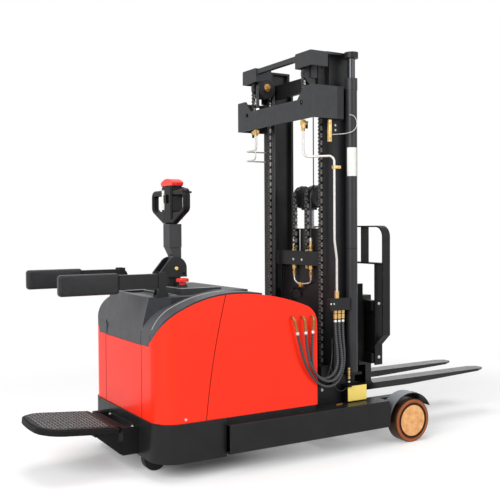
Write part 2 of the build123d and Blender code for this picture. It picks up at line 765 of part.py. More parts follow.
def covers():
    ring = cover_ring()
    panel_half = PANEL_SEAM_Y - PANEL_GAP / 2
    behind = (BODY_REAR_X - 1, BODY_REAR_X + BODY_CORNER_R)
    panel = ring & block(behind, (-panel_half, panel_half), (COVER_Z0, SHOULDER_Z - PANEL_GAP))
    seam_strip = block(behind, (-panel_half - PANEL_GAP, panel_half + PANEL_GAP), (COVER_Z0 - 1, COVER_TOP + 1))
    rear = ring - ahead_of_seam(-PANEL_GAP / 2) - seam_strip
    front = ring & ahead_of_seam(PANEL_GAP / 2)
    for i in range(len(HOSE_ROUTES)):
        front -= rod_y(elbow_turn(i).X, ELBOW_Z, ELBOW_R, -HALF_WIDTH, -PANEL_SEAM_Y)
    return panel, rear, front


def battery_lid():
    half = BODY_HALF_W - COVER_T - SEAT
    shell = prism_xz(arch(0) - arch(-COVER_T), -half, half)
    return shell & block((LID_SEAM_X + PANEL_GAP, BODY_FRONT_X + 1), (-half, half), (BULKHEAD_TOP_Z + SEAT, COVER_TOP + 1))


def dash_cover():
    reach = (BODY_REAR_X - 1, LID_SEAM_X)
    wide = (-HALF_WIDTH, HALF_WIDTH)
    tall = (SHOULDER_Z, CONSOLE_Z)
    outer = prism_xz(dash_outline(0), -DASH_FLARE_Y, DASH_FLARE_Y) & prism_xy(dash_plan(0), SHOULDER_Z, CONSOLE_Z)
    shoulders = prism_xz(arch(DASH_LIFT) - arch(SEAT), *wide) & block(reach, wide, tall)
    shoulders &= prism_xy(body_plan(0, BODY_FRONT_X), SHOULDER_Z, CONSOLE_Z)
    shoulders -= prism_xy(dash_plan(0), SHOULDER_Z, CONSOLE_Z)
    dash = outer + shoulders - prism_xz(arch(SEAT - DASH_T), *wide)
    tray_half = PANEL_SEAM_Y - TRAY_RIM
    tray = block((BODY_REAR_X + DASH_REAR_TOP + TRAY_RIM, TRAY_FRONT_X), (-tray_half, tray_half),
                 (DASH_TOP_Z - TRAY_DEPTH, CONSOLE_Z))
    hollow = prism_xz(dash_outline(DASH_T), -DASH_FLARE_Y, DASH_FLARE_Y)
    hollow &= prism_xy(dash_plan(DASH_T), SHOULDER_Z - 1, CONSOLE_Z)
    hollow -= block((BODY_REAR_X, TRAY_FRONT_X + DASH_T), wide, (DASH_TOP_Z - TRAY_DEPTH - DASH_T, CONSOLE_Z))
    return dash - hollow - tray - rod_z(STEER_X, 0, TURRET_NECK_R + DASH_T, COVER_Z0, PIVOT_Z)


def console():
    crown = COVER_TOP + DASH_LIFT
    side = polygon([(CONSOLE_X0, DASH_TOP_Z), (DASH_RISE_X, DASH_TOP_Z), (CROWN_X, crown), (CONSOLE_X1, crown),
                    (CONSOLE_X1, CONSOLE_Z), (CONSOLE_X0, CONSOLE_Z)])
    box = prism_xz(side, -CONSOLE_HALF_W, CONSOLE_HALF_W)
    box = fillet(box.edges().group_by(Axis.Z)[-1], CONSOLE_EDGE_R)
    collar = rod_z(STOP_X, STOP_Y, STOP_COLLAR_R, CONSOLE_Z, CONSOLE_Z + STOP_COLLAR_H)
    stem_hole = rod_z(STOP_X, STOP_Y, STOP_STEM_R + FIT, DASH_TOP_Z, PIVOT_Z)
    return box + collar - stem_hole - rod_z(STEER_X, 0, TURRET_NECK_R + DASH_T, COVER_Z0, PIVOT_Z)


def emergency_stop():
    head = rod_z(STOP_X, STOP_Y, STOP_R, STOP_TOP_Z - STOP_HEAD_H, STOP_TOP_Z)
    head = fillet(head.edges().group_by(Axis.Z)[-1], STOP_HEAD_H / 3)
    return head + rod_z(STOP_X, STOP_Y, STOP_STEM_R, CONSOLE_Z - STOP_TRAVEL, STOP_TOP_Z - STOP_HEAD_H)


def rear_skirt():
    ring = body_plan(SKIRT_GROW, BODY_FRONT_X) - body_plan(SKIRT_GROW - SKIRT_T, BODY_FRONT_X)
    wall = prism_xy(ring, SKIRT_Z0, COVER_Z0 - SEAT)
    return wall & block((BODY_REAR_X - HALF_WIDTH, LEG_REAR_X - SEAT), (-HALF_WIDTH, HALF_WIDTH), (0, COVER_Z0))


# Inside the covers
def battery():
    x = (WALL_X + PLATE_T + BATTERY_GAP, BODY_FRONT_X - LEG_WALL - PLATE_T - BATTERY_GAP)
    return block(x, (-BATTERY_HALF_W, BATTERY_HALF_W), (LEG_Z1 + PLATE_T, BATTERY_TOP_Z))


def power_pack():
    floor = DRIVE_PLATE_Z + PLATE_T
    tank = block((TANK_X0, TANK_X1), (TANK_Y0, SIDE_PLATE_Y - LEG_WALL), (floor, TANK_Z1))
    pump = rod_x(PUMP_Y, floor + PUMP_R + SEAT, PUMP_R, PUMP_X0, PUMP_X1)
    controller = block((WALL_X - CONTROLLER_T, WALL_X), (CONTROLLER_Y0, CONTROLLER_Y1),
                       (CONTROLLER_Z0, CONTROLLER_Z0 + CONTROLLER_H))
    return [tank, pump, controller]


# Drive unit, casters and tiller
def drive_motor():
    floor = DRIVE_PLATE_Z + PLATE_T + SEAT
    unit = rod_z(STEER_X, 0, SLEW_R, floor, floor + SLEW_T)
    unit += rod_z(STEER_X, 0, MOTOR_R, floor, MOTOR_Z1)
    unit += rod_z(STEER_X, 0, NECK_R, NECK_Z0, floor)
    gear = block((STEER_X - GEAR_R, STEER_X + GEAR_R), (GEAR_Y0, GEAR_Y1), (DRIVE_R, NECK_Z0))
    gear += rod_y(STEER_X, DRIVE_R, GEAR_R, GEAR_Y0, GEAR_Y1)
    gear += block((STEER_X - GEAR_R, STEER_X + GEAR_R), (0, GEAR_Y1), (NECK_Z0, NECK_Z0 + SLEW_T))
    return unit + gear + rod_y(STEER_X, DRIVE_R, DRIVE_AXLE_R, -DRIVE_W / 2, GEAR_Y0)


def drive_wheel():
    tyre = rod_y(STEER_X, DRIVE_R, DRIVE_R, -DRIVE_W / 2, DRIVE_W / 2)
    tyre = fillet(tyre.edges(), DRIVE_AXLE_R / 4)
    return tyre - rod_y(STEER_X, DRIVE_R, DRIVE_AXLE_R + FIT, -DRIVE_W, DRIVE_W)


def steering_turret():
    column = rod_z(STEER_X, 0, COLUMN_R, MOTOR_Z1, TURRET_Z0)
    column += rod_z(STEER_X, 0, TURRET_NECK_R, DASH_TOP_Z, TURRET_Z0)
    out = EAR_IN_Y + EAR_T
    seat = block((STEER_X - EAR_REAR, STEER_X + EAR_FRONT), (-out, out), (TURRET_Z0, TURRET_Z0 + TURRET_T))
    top = CenterArc((STEER_X, PIVOT_Z), EAR_R, 0, 135)
    rest = Polyline(top @ 1, (STEER_X - EAR_REAR, TURRET_Z0 + TURRET_T + EAR_T), (STEER_X - EAR_REAR, TURRET_Z0),
                    (STEER_X + EAR_R, TURRET_Z0), top @ 0)
    ear = prism_xz(make_face(Curve() + [top, rest]), -out, -EAR_IN_Y)
    pin = rod_y(STEER_X, PIVOT_Z, TILLER_PIN_R, -out, out)
    return column + seat + ear + mirrored(ear) + pin


def tiller_arm():
    half = ARM_BOX_D / 2
    thick = EAR_IN_Y - SLIDE
    side = polygon([(STEER_X - half, ARM_BOX_Z1), (STEER_X - half, ARM_BOX_Z0),
                    (STEER_X + half - ARM_WAIST_D, ARM_WAIST_Z), (STEER_X - ARM_WAIST_D / 2, PIVOT_Z),
                    (STEER_X + half, PIVOT_Z), (STEER_X + half, ARM_BOX_Z1)])
    arm = prism_xz(side, -thick, thick)
    arm += block((STEER_X - half, STEER_X + half), (-ARM_BOX_HALF_W, ARM_BOX_HALF_W), (ARM_BOX_Z0, ARM_BOX_Z1))
    arm = fillet(arm.edges().filter_by(Axis.Z).filter_by_position(Axis.Z, ARM_BOX_Z0, ARM_BOX_Z1), ARM_EDGE_R)
    arm += rod_y(STEER_X, PIVOT_Z, min(ARM_BOSS_R, PIVOT_Z - TURRET_Z0 - TURRET_T - SLIDE), -thick, thick)
    return arm - rod_y(STEER_X, PIVOT_Z, TILLER_PIN_R + FIT, -HALF_WIDTH, HALF_WIDTH)


def tiller_head():
    """Two loop grips on a forked base, round a boxed core for the switches."""
    top = HEAD_Z1 - GRIP_TOP_DROP
    outline = polygon([(-HEAD_BASE_HALF_W, HEAD_Z0), (HEAD_BASE_HALF_W, HEAD_Z0), (HEAD_HALF_W, HEAD_SHOULDER_Z),
                       (HEAD_HALF_W, top), (-HEAD_HALF_W, top), (-HEAD_HALF_W, HEAD_SHOULDER_Z)])
    corners = outline.vertices().filter_by_position(Axis.Y, HEAD_SHOULDER_Z - 1, top + 1)
    outline = fillet(corners, GRIP_ROUND)
    out = HEAD_HALF_W - GRIP_BAR
    within = HEAD_CORE_HALF_W - GRIP_EDGE_R
    window = polygon([(within, HEAD_SHOULDER_Z), (out - GRIP_ROUND, HEAD_SHOULDER_Z), (out, HEAD_SHOULDER_Z + GRIP_ROUND / 2),
                      (out, top - GRIP_BAR), (within, top - GRIP_BAR)])
    window = fillet(window.vertices().filter_by_position(Axis.X, out - GRIP_ROUND - 1, out + 1), GRIP_ROUND / 3)
    loops = outline - window - mirror(window, about=Plane.YZ)
    grips = prism_yz(loops, STEER_X - GRIP_BACK - GRIP_D / 2, STEER_X - GRIP_BACK + GRIP_D / 2)
    rims = grips.faces().filter_by(Axis.X).edges()
    grips = fillet(rims, GRIP_EDGE_R)
    top = HEAD_Z1
    core = block((STEER_X - HEAD_CORE_D / 2, STEER_X + HEAD_CORE_D / 2), (-HEAD_CORE_HALF_W, HEAD_CORE_HALF_W),
                 (HEAD_CORE_Z0, top + SEAT))
    core = fillet(core.edges().filter_by(Axis.Z), CORE_EDGE_R)
    shaft_x = STEER_X + THROTTLE_OUT
    wing = THROTTLE_WING_Y0 - SLIDE
    house = rod_y(shaft_x, THROTTLE_Z, THROTTLE_HOUSE_R, -wing, wing)
    house += block((STEER_X, shaft_x), (-wing, wing), (THROTTLE_Z - THROTTLE_HOUSE_R, top))
    head = grips + core + house
    stem = BELLY_STEM / 2 + SEAT
    head -= block((STEER_X - stem, STEER_X + stem), (-stem, stem), (top - 2 * BELLY_STEM, top + BELLY_STEM))
    head -= rod_y(shaft_x, THROTTLE_Z, THROTTLE_SHAFT_R + FIT, -HEAD_HALF_W, HEAD_HALF_W)
    face = STEER_X - HEAD_CORE_D / 2
    head -= block((face - 1, face + ROCKER_POCKET), (-ROCKER_HALF_W - SLIDE, ROCKER_HALF_W + SLIDE),
                  (ROCKER_Z - ROCKER_H / 2 - SLIDE, ROCKER_Z + ROCKER_H / 2 + SLIDE))
    return head


def belly_button():
    low = HEAD_Z1 + BELLY_GAP
    crown = ThreePointArc((-BELLY_HALF_W, low + 2 * BELLY_EDGE), (0, BELLY_TOP_Z), (BELLY_HALF_W, low + 2 * BELLY_EDGE))
    rest = Polyline(crown @ 1, (BELLY_HALF_W - BELLY_EDGE, low), (BELLY_EDGE - BELLY_HALF_W, low), crown @ 0)
    cap = prism_yz(make_face(Curve() + [crown, rest]), STEER_X - BELLY_D / 2, STEER_X + BELLY_D / 2)
    cap = fillet(cap.faces().filter_by(Axis.X).edges(), BELLY_EDGE / 2)
    half = BELLY_STEM / 2
    return cap + block((STEER_X - half, STEER_X + half), (-half, half), (HEAD_Z1 - BELLY_STEM_L, low + BELLY_EDGE))


def throttle():
    shaft_x = STEER_X + THROTTLE_OUT
    knob = rod_y(shaft_x, THROTTLE_Z, THROTTLE_R, -THROTTLE_WING_Y1, -THROTTLE_WING_Y0)
    knob += block((shaft_x, shaft_x + THROTTLE_LEVER), (-THROTTLE_WING_Y1, -THROTTLE_WING_Y0),
                  (THROTTLE_Z - THROTTLE_LEVER_T / 2, THROTTLE_Z + THROTTLE_LEVER_T / 2))
    shaft = rod_y(shaft_x, THROTTLE_Z, THROTTLE_SHAFT_R, -THROTTLE_WING_Y0, THROTTLE_WING_Y0)
    return knob + mirrored(knob) + shaft


def lift_rocker():
    face = STEER_X - HEAD_CORE_D / 2
    cap = block((face - ROCKER_PROUD, face - ROCKER_PROUD + ROCKER_T), (-ROCKER_HALF_W, ROCKER_HALF_W),
                (ROCKER_Z - ROCKER_H / 2, ROCKER_Z + ROCKER_H / 2))
    cap = chamfer(cap.edges().group_by(Axis.X)[0].filter_by(Axis.Y), ROCKER_PROUD / 2)
    return cap + rod_y(face + ROCKER_POCKET / 2, ROCKER_Z, ROCKER_POCKET / 2 - SEAT, -ROCKER_HALF_W, ROCKER_HALF_W)


def caster_fork():
    top = CASTER_PLATE_Z - SEAT
    fork = rod_z(CASTER_X, -CASTER_Y, CASTER_DISC_R, top - CASTER_DISC_T, top)
    fork += rod_z(CASTER_X, -CASTER_Y, CASTER_STEM_R, top, CASTER_PLATE_Z + 2 * PLATE_T)
    wheel_x = CASTER_X - CASTER_TRAIL
    cheek_y = CASTER_W / 2 + SLIDE
    outline = polygon([(wheel_x - CASTER_CHEEK_W / 2, CASTER_R), (wheel_x + CASTER_CHEEK_W / 2, CASTER_R),
                       (CASTER_X + CASTER_CHEEK_W / 2, top), (CASTER_X - CASTER_CHEEK_W, top)])
    cheek = prism_xz(outline, -cheek_y - CASTER_CHEEK_T, -cheek_y)
    cheek += rod_y(wheel_x, CASTER_R, CASTER_CHEEK_W / 2, -cheek_y - CASTER_CHEEK_T, -cheek_y)
    fork += Pos(0, -CASTER_Y, 0) * (cheek + mirrored(cheek))
    return fork + rod_y(wheel_x, CASTER_R, CASTER_AXLE_R, -CASTER_Y - cheek_y, cheek_y - CASTER_Y)


def caster_wheel():
    wheel_x = CASTER_X - CASTER_TRAIL
    wheel = rod_y(wheel_x, CASTER_R, CASTER_R, -CASTER_Y - CASTER_W / 2, CASTER_W / 2 - CASTER_Y)
    wheel = fillet(wheel.edges(), CASTER_AXLE_R / 2)
    return wheel - rod_y(wheel_x, CASTER_R, CASTER_AXLE_R + FIT, -HALF_WIDTH, 0)


def load_wheel():
    """Right load wheel: tyre, a groove, then the hub disc with its grease cap."""
    face = HALF_WIDTH
    back = HALF_WIDTH - LOAD_W
    tyre = rod_y(AXLE_X, LOAD_R, LOAD_R, -face, -back)
    tyre = fillet(tyre.edges(), LOAD_GROOVE)
    groove = rod_y(AXLE_X, LOAD_R, LOAD_HUB_R + LOAD_GROOVE, -face, LOAD_GROOVE - face)
    groove -= rod_y(AXLE_X, LOAD_R, LOAD_HUB_R, -face, LOAD_GROOVE - face)
    return tyre - groove - rod_y(AXLE_X, LOAD_R, LOAD_AXLE_R + FIT, LOAD_CAP - face - SEAT, 1 - back)


# Platform and side arms
def platform_bracket():
    rear = BODY_REAR_X - SKIRT_GROW
    cheek = block((HINGE_X - BRACKET_REAR, rear), (-BRACKET_Y1, -BRACKET_Y0), (BRACKET_Z0, HINGE_Z + BRACKET_TOP))
    plate = block((rear - PLATE_T, rear), (-BRACKET_Y1, BRACKET_Y1), (BRACKET_Z0, HINGE_Z + BRACKET_TOP))
    frame = cheek + mirrored(cheek) + plate
    frame -= rod_y(HINGE_X, HINGE_Z, HINGE_PIN_R, -HALF_WIDTH, HALF_WIDTH)
    return [frame, rod_y(HINGE_X, HINGE_Z, HINGE_PIN_R, -BRACKET_Y1, BRACKET_Y1)]


def platform_sheet(inset):
    """Plan of the platform, with a round tail and notches beside the hinge bracket."""
    rear = HINGE_X - PLATFORM_L + inset
    half = PLATFORM_HALF_W - inset
    front = HINGE_X - PLATFORM_NOTCH - inset
    tail = ThreePointArc((rear + PLATFORM_BULGE, -half), (rear, 0), (rear + PLATFORM_BULGE, half))
    sides = Polyline(tail @ 1, (front, half), (front, -half), tail @ 0)
    sheet = make_face(Curve() + [tail, sides])
    return fillet(sheet.vertices().group_by(Axis.X)[0], PLATFORM_CORNER_R - inset)


def tilted(shape):
    """Turned up about the hinge pin to the platform's resting slope."""
    return Pos(HINGE_X, 0, HINGE_Z) * Rot(0, PLATFORM_TILT, 0) * Pos(-HINGE_X, 0, -HINGE_Z) * shape


def platform():
    top = HINGE_Z + PLATFORM_TOP - MAT_T
    low = top - PLATFORM_T
    tongue_half = BRACKET_Y0 - SLIDE
    plate = prism_xy(platform_sheet(0), low, top)
    plate = fillet(plate.edges().group_by(Axis.Z)[0].sort_by(Axis.X)[:1], MAT_T / 2)
    plate += block((HINGE_X - PLATFORM_NOTCH - 1, HINGE_X), (-tongue_half, tongue_half), (HINGE_Z - HINGE_PIN_R, top))
    body = tilted(plate) + rod_y(HINGE_X, HINGE_Z, KNUCKLE_R, -tongue_half, tongue_half)
    notch = HINGE_X - PLATFORM_NOTCH
    foot_x = HINGE_X - BRACKET_REAR - 1
    out = PLATFORM_HALF_W - GUSSET_T
    knee_z = HINGE_Z - PLATFORM_NOTCH
    gusset = prism_xz(polygon([(HINGE_X - GUSSET_L, low + GUSSET_T), (notch, low + GUSSET_T), (notch, knee_z),
                               (foot_x, knee_z), (foot_x, knee_z - GUSSET_FOOT),
                               (foot_x - GUSSET_T, knee_z - GUSSET_FOOT)]), -out, GUSSET_T - out)
    body += both(gusset)
    return body - rod_y(HINGE_X, HINGE_Z, HINGE_PIN_R + FIT, -HALF_WIDTH, HALF_WIDTH)


def platform_mat():
    top = HINGE_Z + PLATFORM_TOP
    return tilted(prism_xy(platform_sheet(MAT_EDGE), top - MAT_T, top))


def arm_post():
    inner = ARM_T / 2 + SEAT
    foot_half = inner + POST_CHEEK_T
    foot = block((ARM_X - POST_FOOT_L / 2, ARM_X + POST_FOOT_L / 2), (-ARM_Y - foot_half, foot_half - ARM_Y),
                 (DASH_TOP_Z, DASH_TOP_Z + POST_FOOT_T))
    outline = polygon([(ARM_X - POST_FOOT_L / 2, DASH_TOP_Z + POST_FOOT_T), (ARM_X - POST_W / 2, ARM_Z - ARM_H / 2),
                       (ARM_X - POST_W / 2, ARM_Z + POST_TOP), (ARM_X + POST_W / 2, ARM_Z + POST_TOP),
                       (ARM_X + POST_W / 2, ARM_Z - ARM_H / 2), (ARM_X + POST_FOOT_L / 2, DASH_TOP_Z + POST_FOOT_T)])
    cheek = prism_xz(outline, -foot_half, -inner)
    stop = block((ARM_X - POST_W / 2, ARM_X), (-inner, inner), (DASH_TOP_Z + POST_FOOT_T, ARM_Z - ARM_H / 2 - SEAT))
    post = foot + Pos(0, -ARM_Y, 0) * (cheek + mirrored(cheek) + stop)
    return post + rod_y(ARM_X, ARM_Z, ARM_PIN_R, -ARM_Y - foot_half, foot_half - ARM_Y)


def side_arm():
    half = ARM_T / 2
    rear = ARM_X - ARM_BEAM_L
    beam = block((rear, ARM_X), (-half, half), (ARM_Z - ARM_H / 2, ARM_Z + ARM_H / 2))
    beam += rod_y(ARM_X, ARM_Z, ARM_H / 2, -half, half)
    beam += block((rear - ARM_TONGUE_L, rear), (-ARM_TONGUE_T / 2, ARM_TONGUE_T / 2),
                  (ARM_Z - ARM_TONGUE_H / 2, ARM_Z + ARM_TONGUE_H / 2))
    return Pos(0, -ARM_Y, 0) * (beam - rod_y(ARM_X, ARM_Z, ARM_PIN_R + FIT, -ARM_T, ARM_T))


def arm_pad():
    front = ARM_X - ARM_BEAM_L
    mid = ARM_Z - PAD_DROP
    pad = block((front - PAD_L, front), (-PAD_T / 2, PAD_T / 2), (mid - PAD_H / 2, mid + PAD_H / 2))
    pad = fillet(pad.edges().filter_by(Axis.Y), PAD_END_R)
    pad = fillet(pad.faces().filter_by(Axis.Y).edges(), PAD_EDGE_R)
    socket = block((front - PAD_L + PAD_T / 2, front + 1), (-ARM_TONGUE_T / 2 - FIT, ARM_TONGUE_T / 2 + FIT),
                   (ARM_Z - ARM_TONGUE_H / 2 - FIT, ARM_Z + ARM_TONGUE_H / 2 + FIT))
    return Pos(0, -ARM_Y, 0) * (pad - socket)


# Mast
def crossbeam():
    """Plate with raised ends across the back of the outer mast, its side plates and chain shelves."""
    half = BEAM_HALF_W
    low = BEAM_Z0
    mid = BEAM_Z0 + BEAM_MID_H
    end = half - BEAM_END_L
    slope = end - BEAM_SLOPE_L
    face = polygon([(-half, low), (half, low), (half, OUTER_Z1), (end, OUTER_Z1), (slope, mid), (-slope, mid),
                    (-end, OUTER_Z1), (-half, OUTER_Z1)])
    hole = Pos(half - BEAM_HOLE_IN, low + BEAM_HOLE_UP) * Circle(BEAM_HOLE_R)
    face -= hole
    face -= mirror(hole, about=Plane.YZ)
    beam = prism_yz(face, BEAM_REAR_X, BEAM_REAR_X + BEAM_T)
    side_x = (BEAM_REAR_X, BEAM_REAR_X + BEAM_SIDE_L)
    side = block(side_x, (-half, BEAM_SIDE_T - half), (low, OUTER_Z1))
    rail_rear = MAST_X - OUTER_DEPTH / 2
    spacer = block((rail_rear, side_x[1]), (BEAM_SIDE_T - half, -OUTER_WEB_Y), (low, OUTER_Z1))
    shelf_z = low + ANCHOR_SHELF_UP
    shelf = block((BEAM_REAR_X + BEAM_T, SHEAVE_X - SHEAVE_PITCH_R + CHAIN_W),
                  (-SHEAVE_Y - CHAIN_W, CHAIN_W - SHEAVE_Y), (shelf_z, shelf_z + ANCHOR_SHELF_T))
    return beam + both(side) + both(spacer) + both(shelf)


def outer_mast():
    rail = stage_rail(0, OUTER_Z0, OUTER_Z1)
    return rail + mirrored(rail) + crossbeam()


def manifold():
    y = (-MANIFOLD_Y0 - MANIFOLD_T, -MANIFOLD_Y0)
    body = block((MANIFOLD_X0, MANIFOLD_X0 + MANIFOLD_L), y, (MANIFOLD_Z0, MANIFOLD_Z0 + MANIFOLD_H))
    body = fillet(body.edges().filter_by(Axis.Y), COVER_T)
    foot_x = MAST_X - OUTER_DEPTH / 2
    return body + block((foot_x, foot_x + MANIFOLD_FOOT), (-MANIFOLD_Y0, -OUTER_WEB_Y),
                        (MANIFOLD_Z0 + COVER_T, MANIFOLD_Z0 + MANIFOLD_H - COVER_T))


def reach_carriage():
    """Side plates beside the outer rails, ties across, feet for the lift cylinders, and the rollers."""
    plate_y = (-OUTER_WEB_Y - REACH_PLATE_T, -OUTER_WEB_Y)
    side = block((REACH_STEP_X, REACH_X1), plate_y, (REACH_Z0, REACH_Z1))
    side += block((REACH_X0, REACH_STEP_X), plate_y, (REACH_Z0, REACH_LOW_Z))
    foot = block((CYL_X - FOOT_HALF_L, CYL_X + FOOT_HALF_L), (-CYL_Y - CYL_R, -OUTER_WEB_Y), (FOOT_Z, FOOT_Z + FOOT_T))
    web = polygon([(-OUTER_WEB_Y - REACH_PLATE_T, REACH_Z1), (-OUTER_WEB_Y, REACH_Z1), (-OUTER_WEB_Y, FOOT_Z),
                   (-CYL_Y, FOOT_Z)])
    side += foot + prism_yz(web, CYL_X - REACH_PLATE_T, CYL_X + REACH_PLATE_T)
    roller_z = (LEG_Z0 + LEG_Z1) / 2
    roller_r = (LEG_Z1 - LEG_Z0) / 2 - RAIL_FLANGE_T - SLIDE / 2
    out = RAIL_WEB_Y - RAIL_WEB - SLIDE
    rollers = []
    for x in (REACH_ROLLER_X0, REACH_ROLLER_X1):
        side += rod_y(x, roller_z, REACH_ROLLER_PIN_R, -out, -OUTER_WEB_Y - REACH_PLATE_T)
        bore = rod_y(x, roller_z, REACH_ROLLER_PIN_R + FIT, -HALF_WIDTH, 0)
        rollers += both(rod_y(x, roller_z, roller_r, -out, REACH_ROLLER_W - out) - bore)
    plates = both(side)
    tie_y = (-OUTER_WEB_Y, OUTER_WEB_Y)
    tie = block((REACH_X0, REACH_X0 + REACH_TIE_T), tie_y, (REACH_TIE_Z0, REACH_TIE_Z1))
    plates.append(tie - rod_x(0, RAM_Z, RAM_R + WHEEL_GAP, REACH_X0 - 1, REACH_X0 + REACH_TIE_T + 1))
    rail_rear = MAST_X - OUTER_DEPTH / 2
    tie_front = MAST_TIE_X + REACH_TIE_T
    plates.append(block((MAST_TIE_X, tie_front), tie_y, (REACH_Z0, MAST_TIE_Z1)))
    ear_y = (-OUTER_WEB_Y, STAGE_STEP - STAGE_GAP - OUTER_WEB_Y)
    plates += both(block((tie_front, rail_rear), ear_y, (REACH_Z0, MAST_TIE_Z1)))
    return plates + rollers


def yellow_block():
    inner = OUTER_WEB_Y + REACH_PLATE_T
    body = block((YELLOW_X0, YELLOW_X0 + YELLOW_L), (-YELLOW_Y1, -inner), (YELLOW_Z0, YELLOW_Z0 + YELLOW_H))
    return fillet(body.edges().group_by(Axis.Y)[0], YELLOW_EDGE_R)


def lift_cylinder():
    barrel = rod_z(CYL_X, -CYL_Y, CYL_R, CYL_Z0, CYL_Z1)
    barrel -= rod_z(CYL_X, -CYL_Y, CYL_R - CYL_WALL, CYL_Z0 + CYL_WALL, CYL_Z1 + 1)
    gland = rod_z(CYL_X, -CYL_Y, CYL_R + CYL_GLAND_GROW, CYL_Z1 - CYL_GLAND_H, CYL_Z1)
    return barrel + gland - rod_z(CYL_X, -CYL_Y, ROD_R + FIT, CYL_Z0 + CYL_WALL, CYL_Z1 + 1)


def lift_rod():
    return rod_z(CYL_X, -CYL_Y, ROD_R, ROD_Z0, CAP_Z1 - ROD_CAP_T)


def reach_ram():
    barrel = rod_x(0, RAM_Z, RAM_R, WALL_X + PLATE_T, RAM_FRONT_X)
    barrel -= rod_x(0, RAM_Z, RAM_BORE_R, WALL_X + PLATE_T + RAM_END_T, RAM_FRONT_X - RAM_END_T)
    return barrel - rod_x(0, RAM_Z, RAM_ROD_R + FIT, WALL_X + PLATE_T + RAM_END_T, RAM_FRONT_X + 1)


def reach_rod():
    rod = rod_x(0, RAM_Z, RAM_ROD_R, WALL_X + PLATE_T + RAM_END_T + SEAT, MAST_TIE_X)
    return rod + rod_x(0, RAM_Z, RAM_BORE_R - FIT, WALL_X + PLATE_T + RAM_END_T + SEAT, WALL_X + PLATE_T + 2 * RAM_END_T)


def cap_block():
    """Right end of the cap: a cover over the sheave, ears for its pin and a neck to the rail and cylinder."""
    x = (CAP_REAR_X, CAP_REAR_X + CAP_L)
    y = (-CAP_HALF_W, -CAP_IN_Y)
    cover = block(x, y, (CAP_Z0, CAP_Z1))
    cover = fillet(cover.edges().filter_by(Axis.X).group_by(Axis.Z)[-1], CAP_T)
    cover -= block((x[0] + CAP_T, x[1] + 1), (y[0] + CAP_T, y[1] - CAP_T), (CAP_Z0 - 1, CAP_Z1 - CAP_TOP_T))
    top = (CAP_Z1 - CAP_TOP_T, CAP_Z1)
    rail_out = stage_web_y(1)
    rail_tip = rail_out - STAGE_STEP + STAGE_GAP
    neck = block((x[1] - CAP_T, MAST_X + stage_depth(1) / 2), (-CAP_HALF_W, -rail_tip), top)
    arm = block((CYL_X - ROD_R, CYL_X + ROD_R), (-CYL_Y, -rail_out), top)
    ring = rod_z(CYL_X, -CYL_Y, ROD_CAP_R, CAP_Z1 - ROD_CAP_T, CAP_Z1)
    cap = cover + neck + arm + ring
    ear_x = (SHEAVE_X - SHEAVE_EAR_W / 2, SHEAVE_X + SHEAVE_EAR_W / 2)
    for side in (-1, 1):
        inner = SHEAVE_Y + side * (SHEAVE_W / 2 + SLIDE)
        ear = block(ear_x, (-inner, -inner - side * SHEAVE_EAR_T), (SHEAVE_Z - SHEAVE_EAR_W / 2, CAP_Z1 - CAP_TOP_T))
        cap += ear
    far = SHEAVE_W / 2 + SLIDE + SHEAVE_EAR_T
    return cap + rod_y(SHEAVE_X, SHEAVE_Z, SHEAVE_PIN_R, -SHEAVE_Y - far, far - SHEAVE_Y)


def middle_mast():
    rail = stage_rail(1, MIDDLE_Z0, CAP_Z1 - CAP_TOP_T)
    mast = rail + cap_block()
    rail_out = stage_web_y(1)
    rail_tip = rail_out - STAGE_STEP + STAGE_GAP
    tie_z = (MIDDLE_TIE_Z0, MIDDLE_TIE_Z0 + MIDDLE_TIE_H)
    mast += block((MIDDLE_TIE_X, MAST_X - stage_depth(1) / 2), (-rail_out, -rail_tip), tie_z)
    rollers = []
    for z in (MIDDLE_Z0 + ROLLER_LOW, MIDDLE_Z0 + ROLLER_LOW + ROLLER_PITCH):
        pin, roller = stage_roller(0, z, rail_out)
        mast += pin
        rollers += both(roller)
    tie = block((MIDDLE_TIE_X, MIDDLE_TIE_X + WEB_T), (-rail_tip, rail_tip), tie_z)
    bar_z = (CAP_Z1 - CAP_BAR_T - CAP_T, CAP_Z1 - CAP_T)
    bar = block((CAP_REAR_X + CAP_T, CAP_REAR_X + CAP_T + CAP_BAR_T), (-CAP_IN_Y, CAP_IN_Y), bar_z)
    return both(mast) + [tie, bar] + rollers


def sheave(x, y, z, radius, pitch_r, width, pin_r):
    """A grooved wheel with a raised hub, turning about the cross axis."""
    half = width / 2
    wheel = rod_y(x, z, radius, y - half, y + half)
    slot = CHAIN_HALF_W + SLIDE
    groove = rod_y(x, z, radius + 1, y - slot, y + slot)
    groove -= rod_y(x, z, pitch_r - CHAIN_D / 2, y - slot, y + slot)
    return wheel - groove - rod_y(x, z, pin_r + FIT, y - width, y + width)


def chain_run(x, y, z0, z1):
    """A straight length of chain: link plates with waists between, seen from the side."""
    links = max(2, round((z1 - z0) / CHAIN_PITCH))
    step = (z1 - z0) / links
    rear = []
    front = []
    for i in range(links):
        low = z0 + i * step
        for share, half in ((0.0, CHAIN_WAIST / 2), (0.2, CHAIN_D / 2), (0.8, CHAIN_D / 2)):
            rear.append((x - half, low + share * step))
            front.append((x + half, low + share * step))
    rear.append((x - CHAIN_WAIST / 2, z1))
    front.append((x + CHAIN_WAIST / 2, z1))
    return prism_xz(polygon(rear + front[::-1]), y - CHAIN_HALF_W, y + CHAIN_HALF_W)


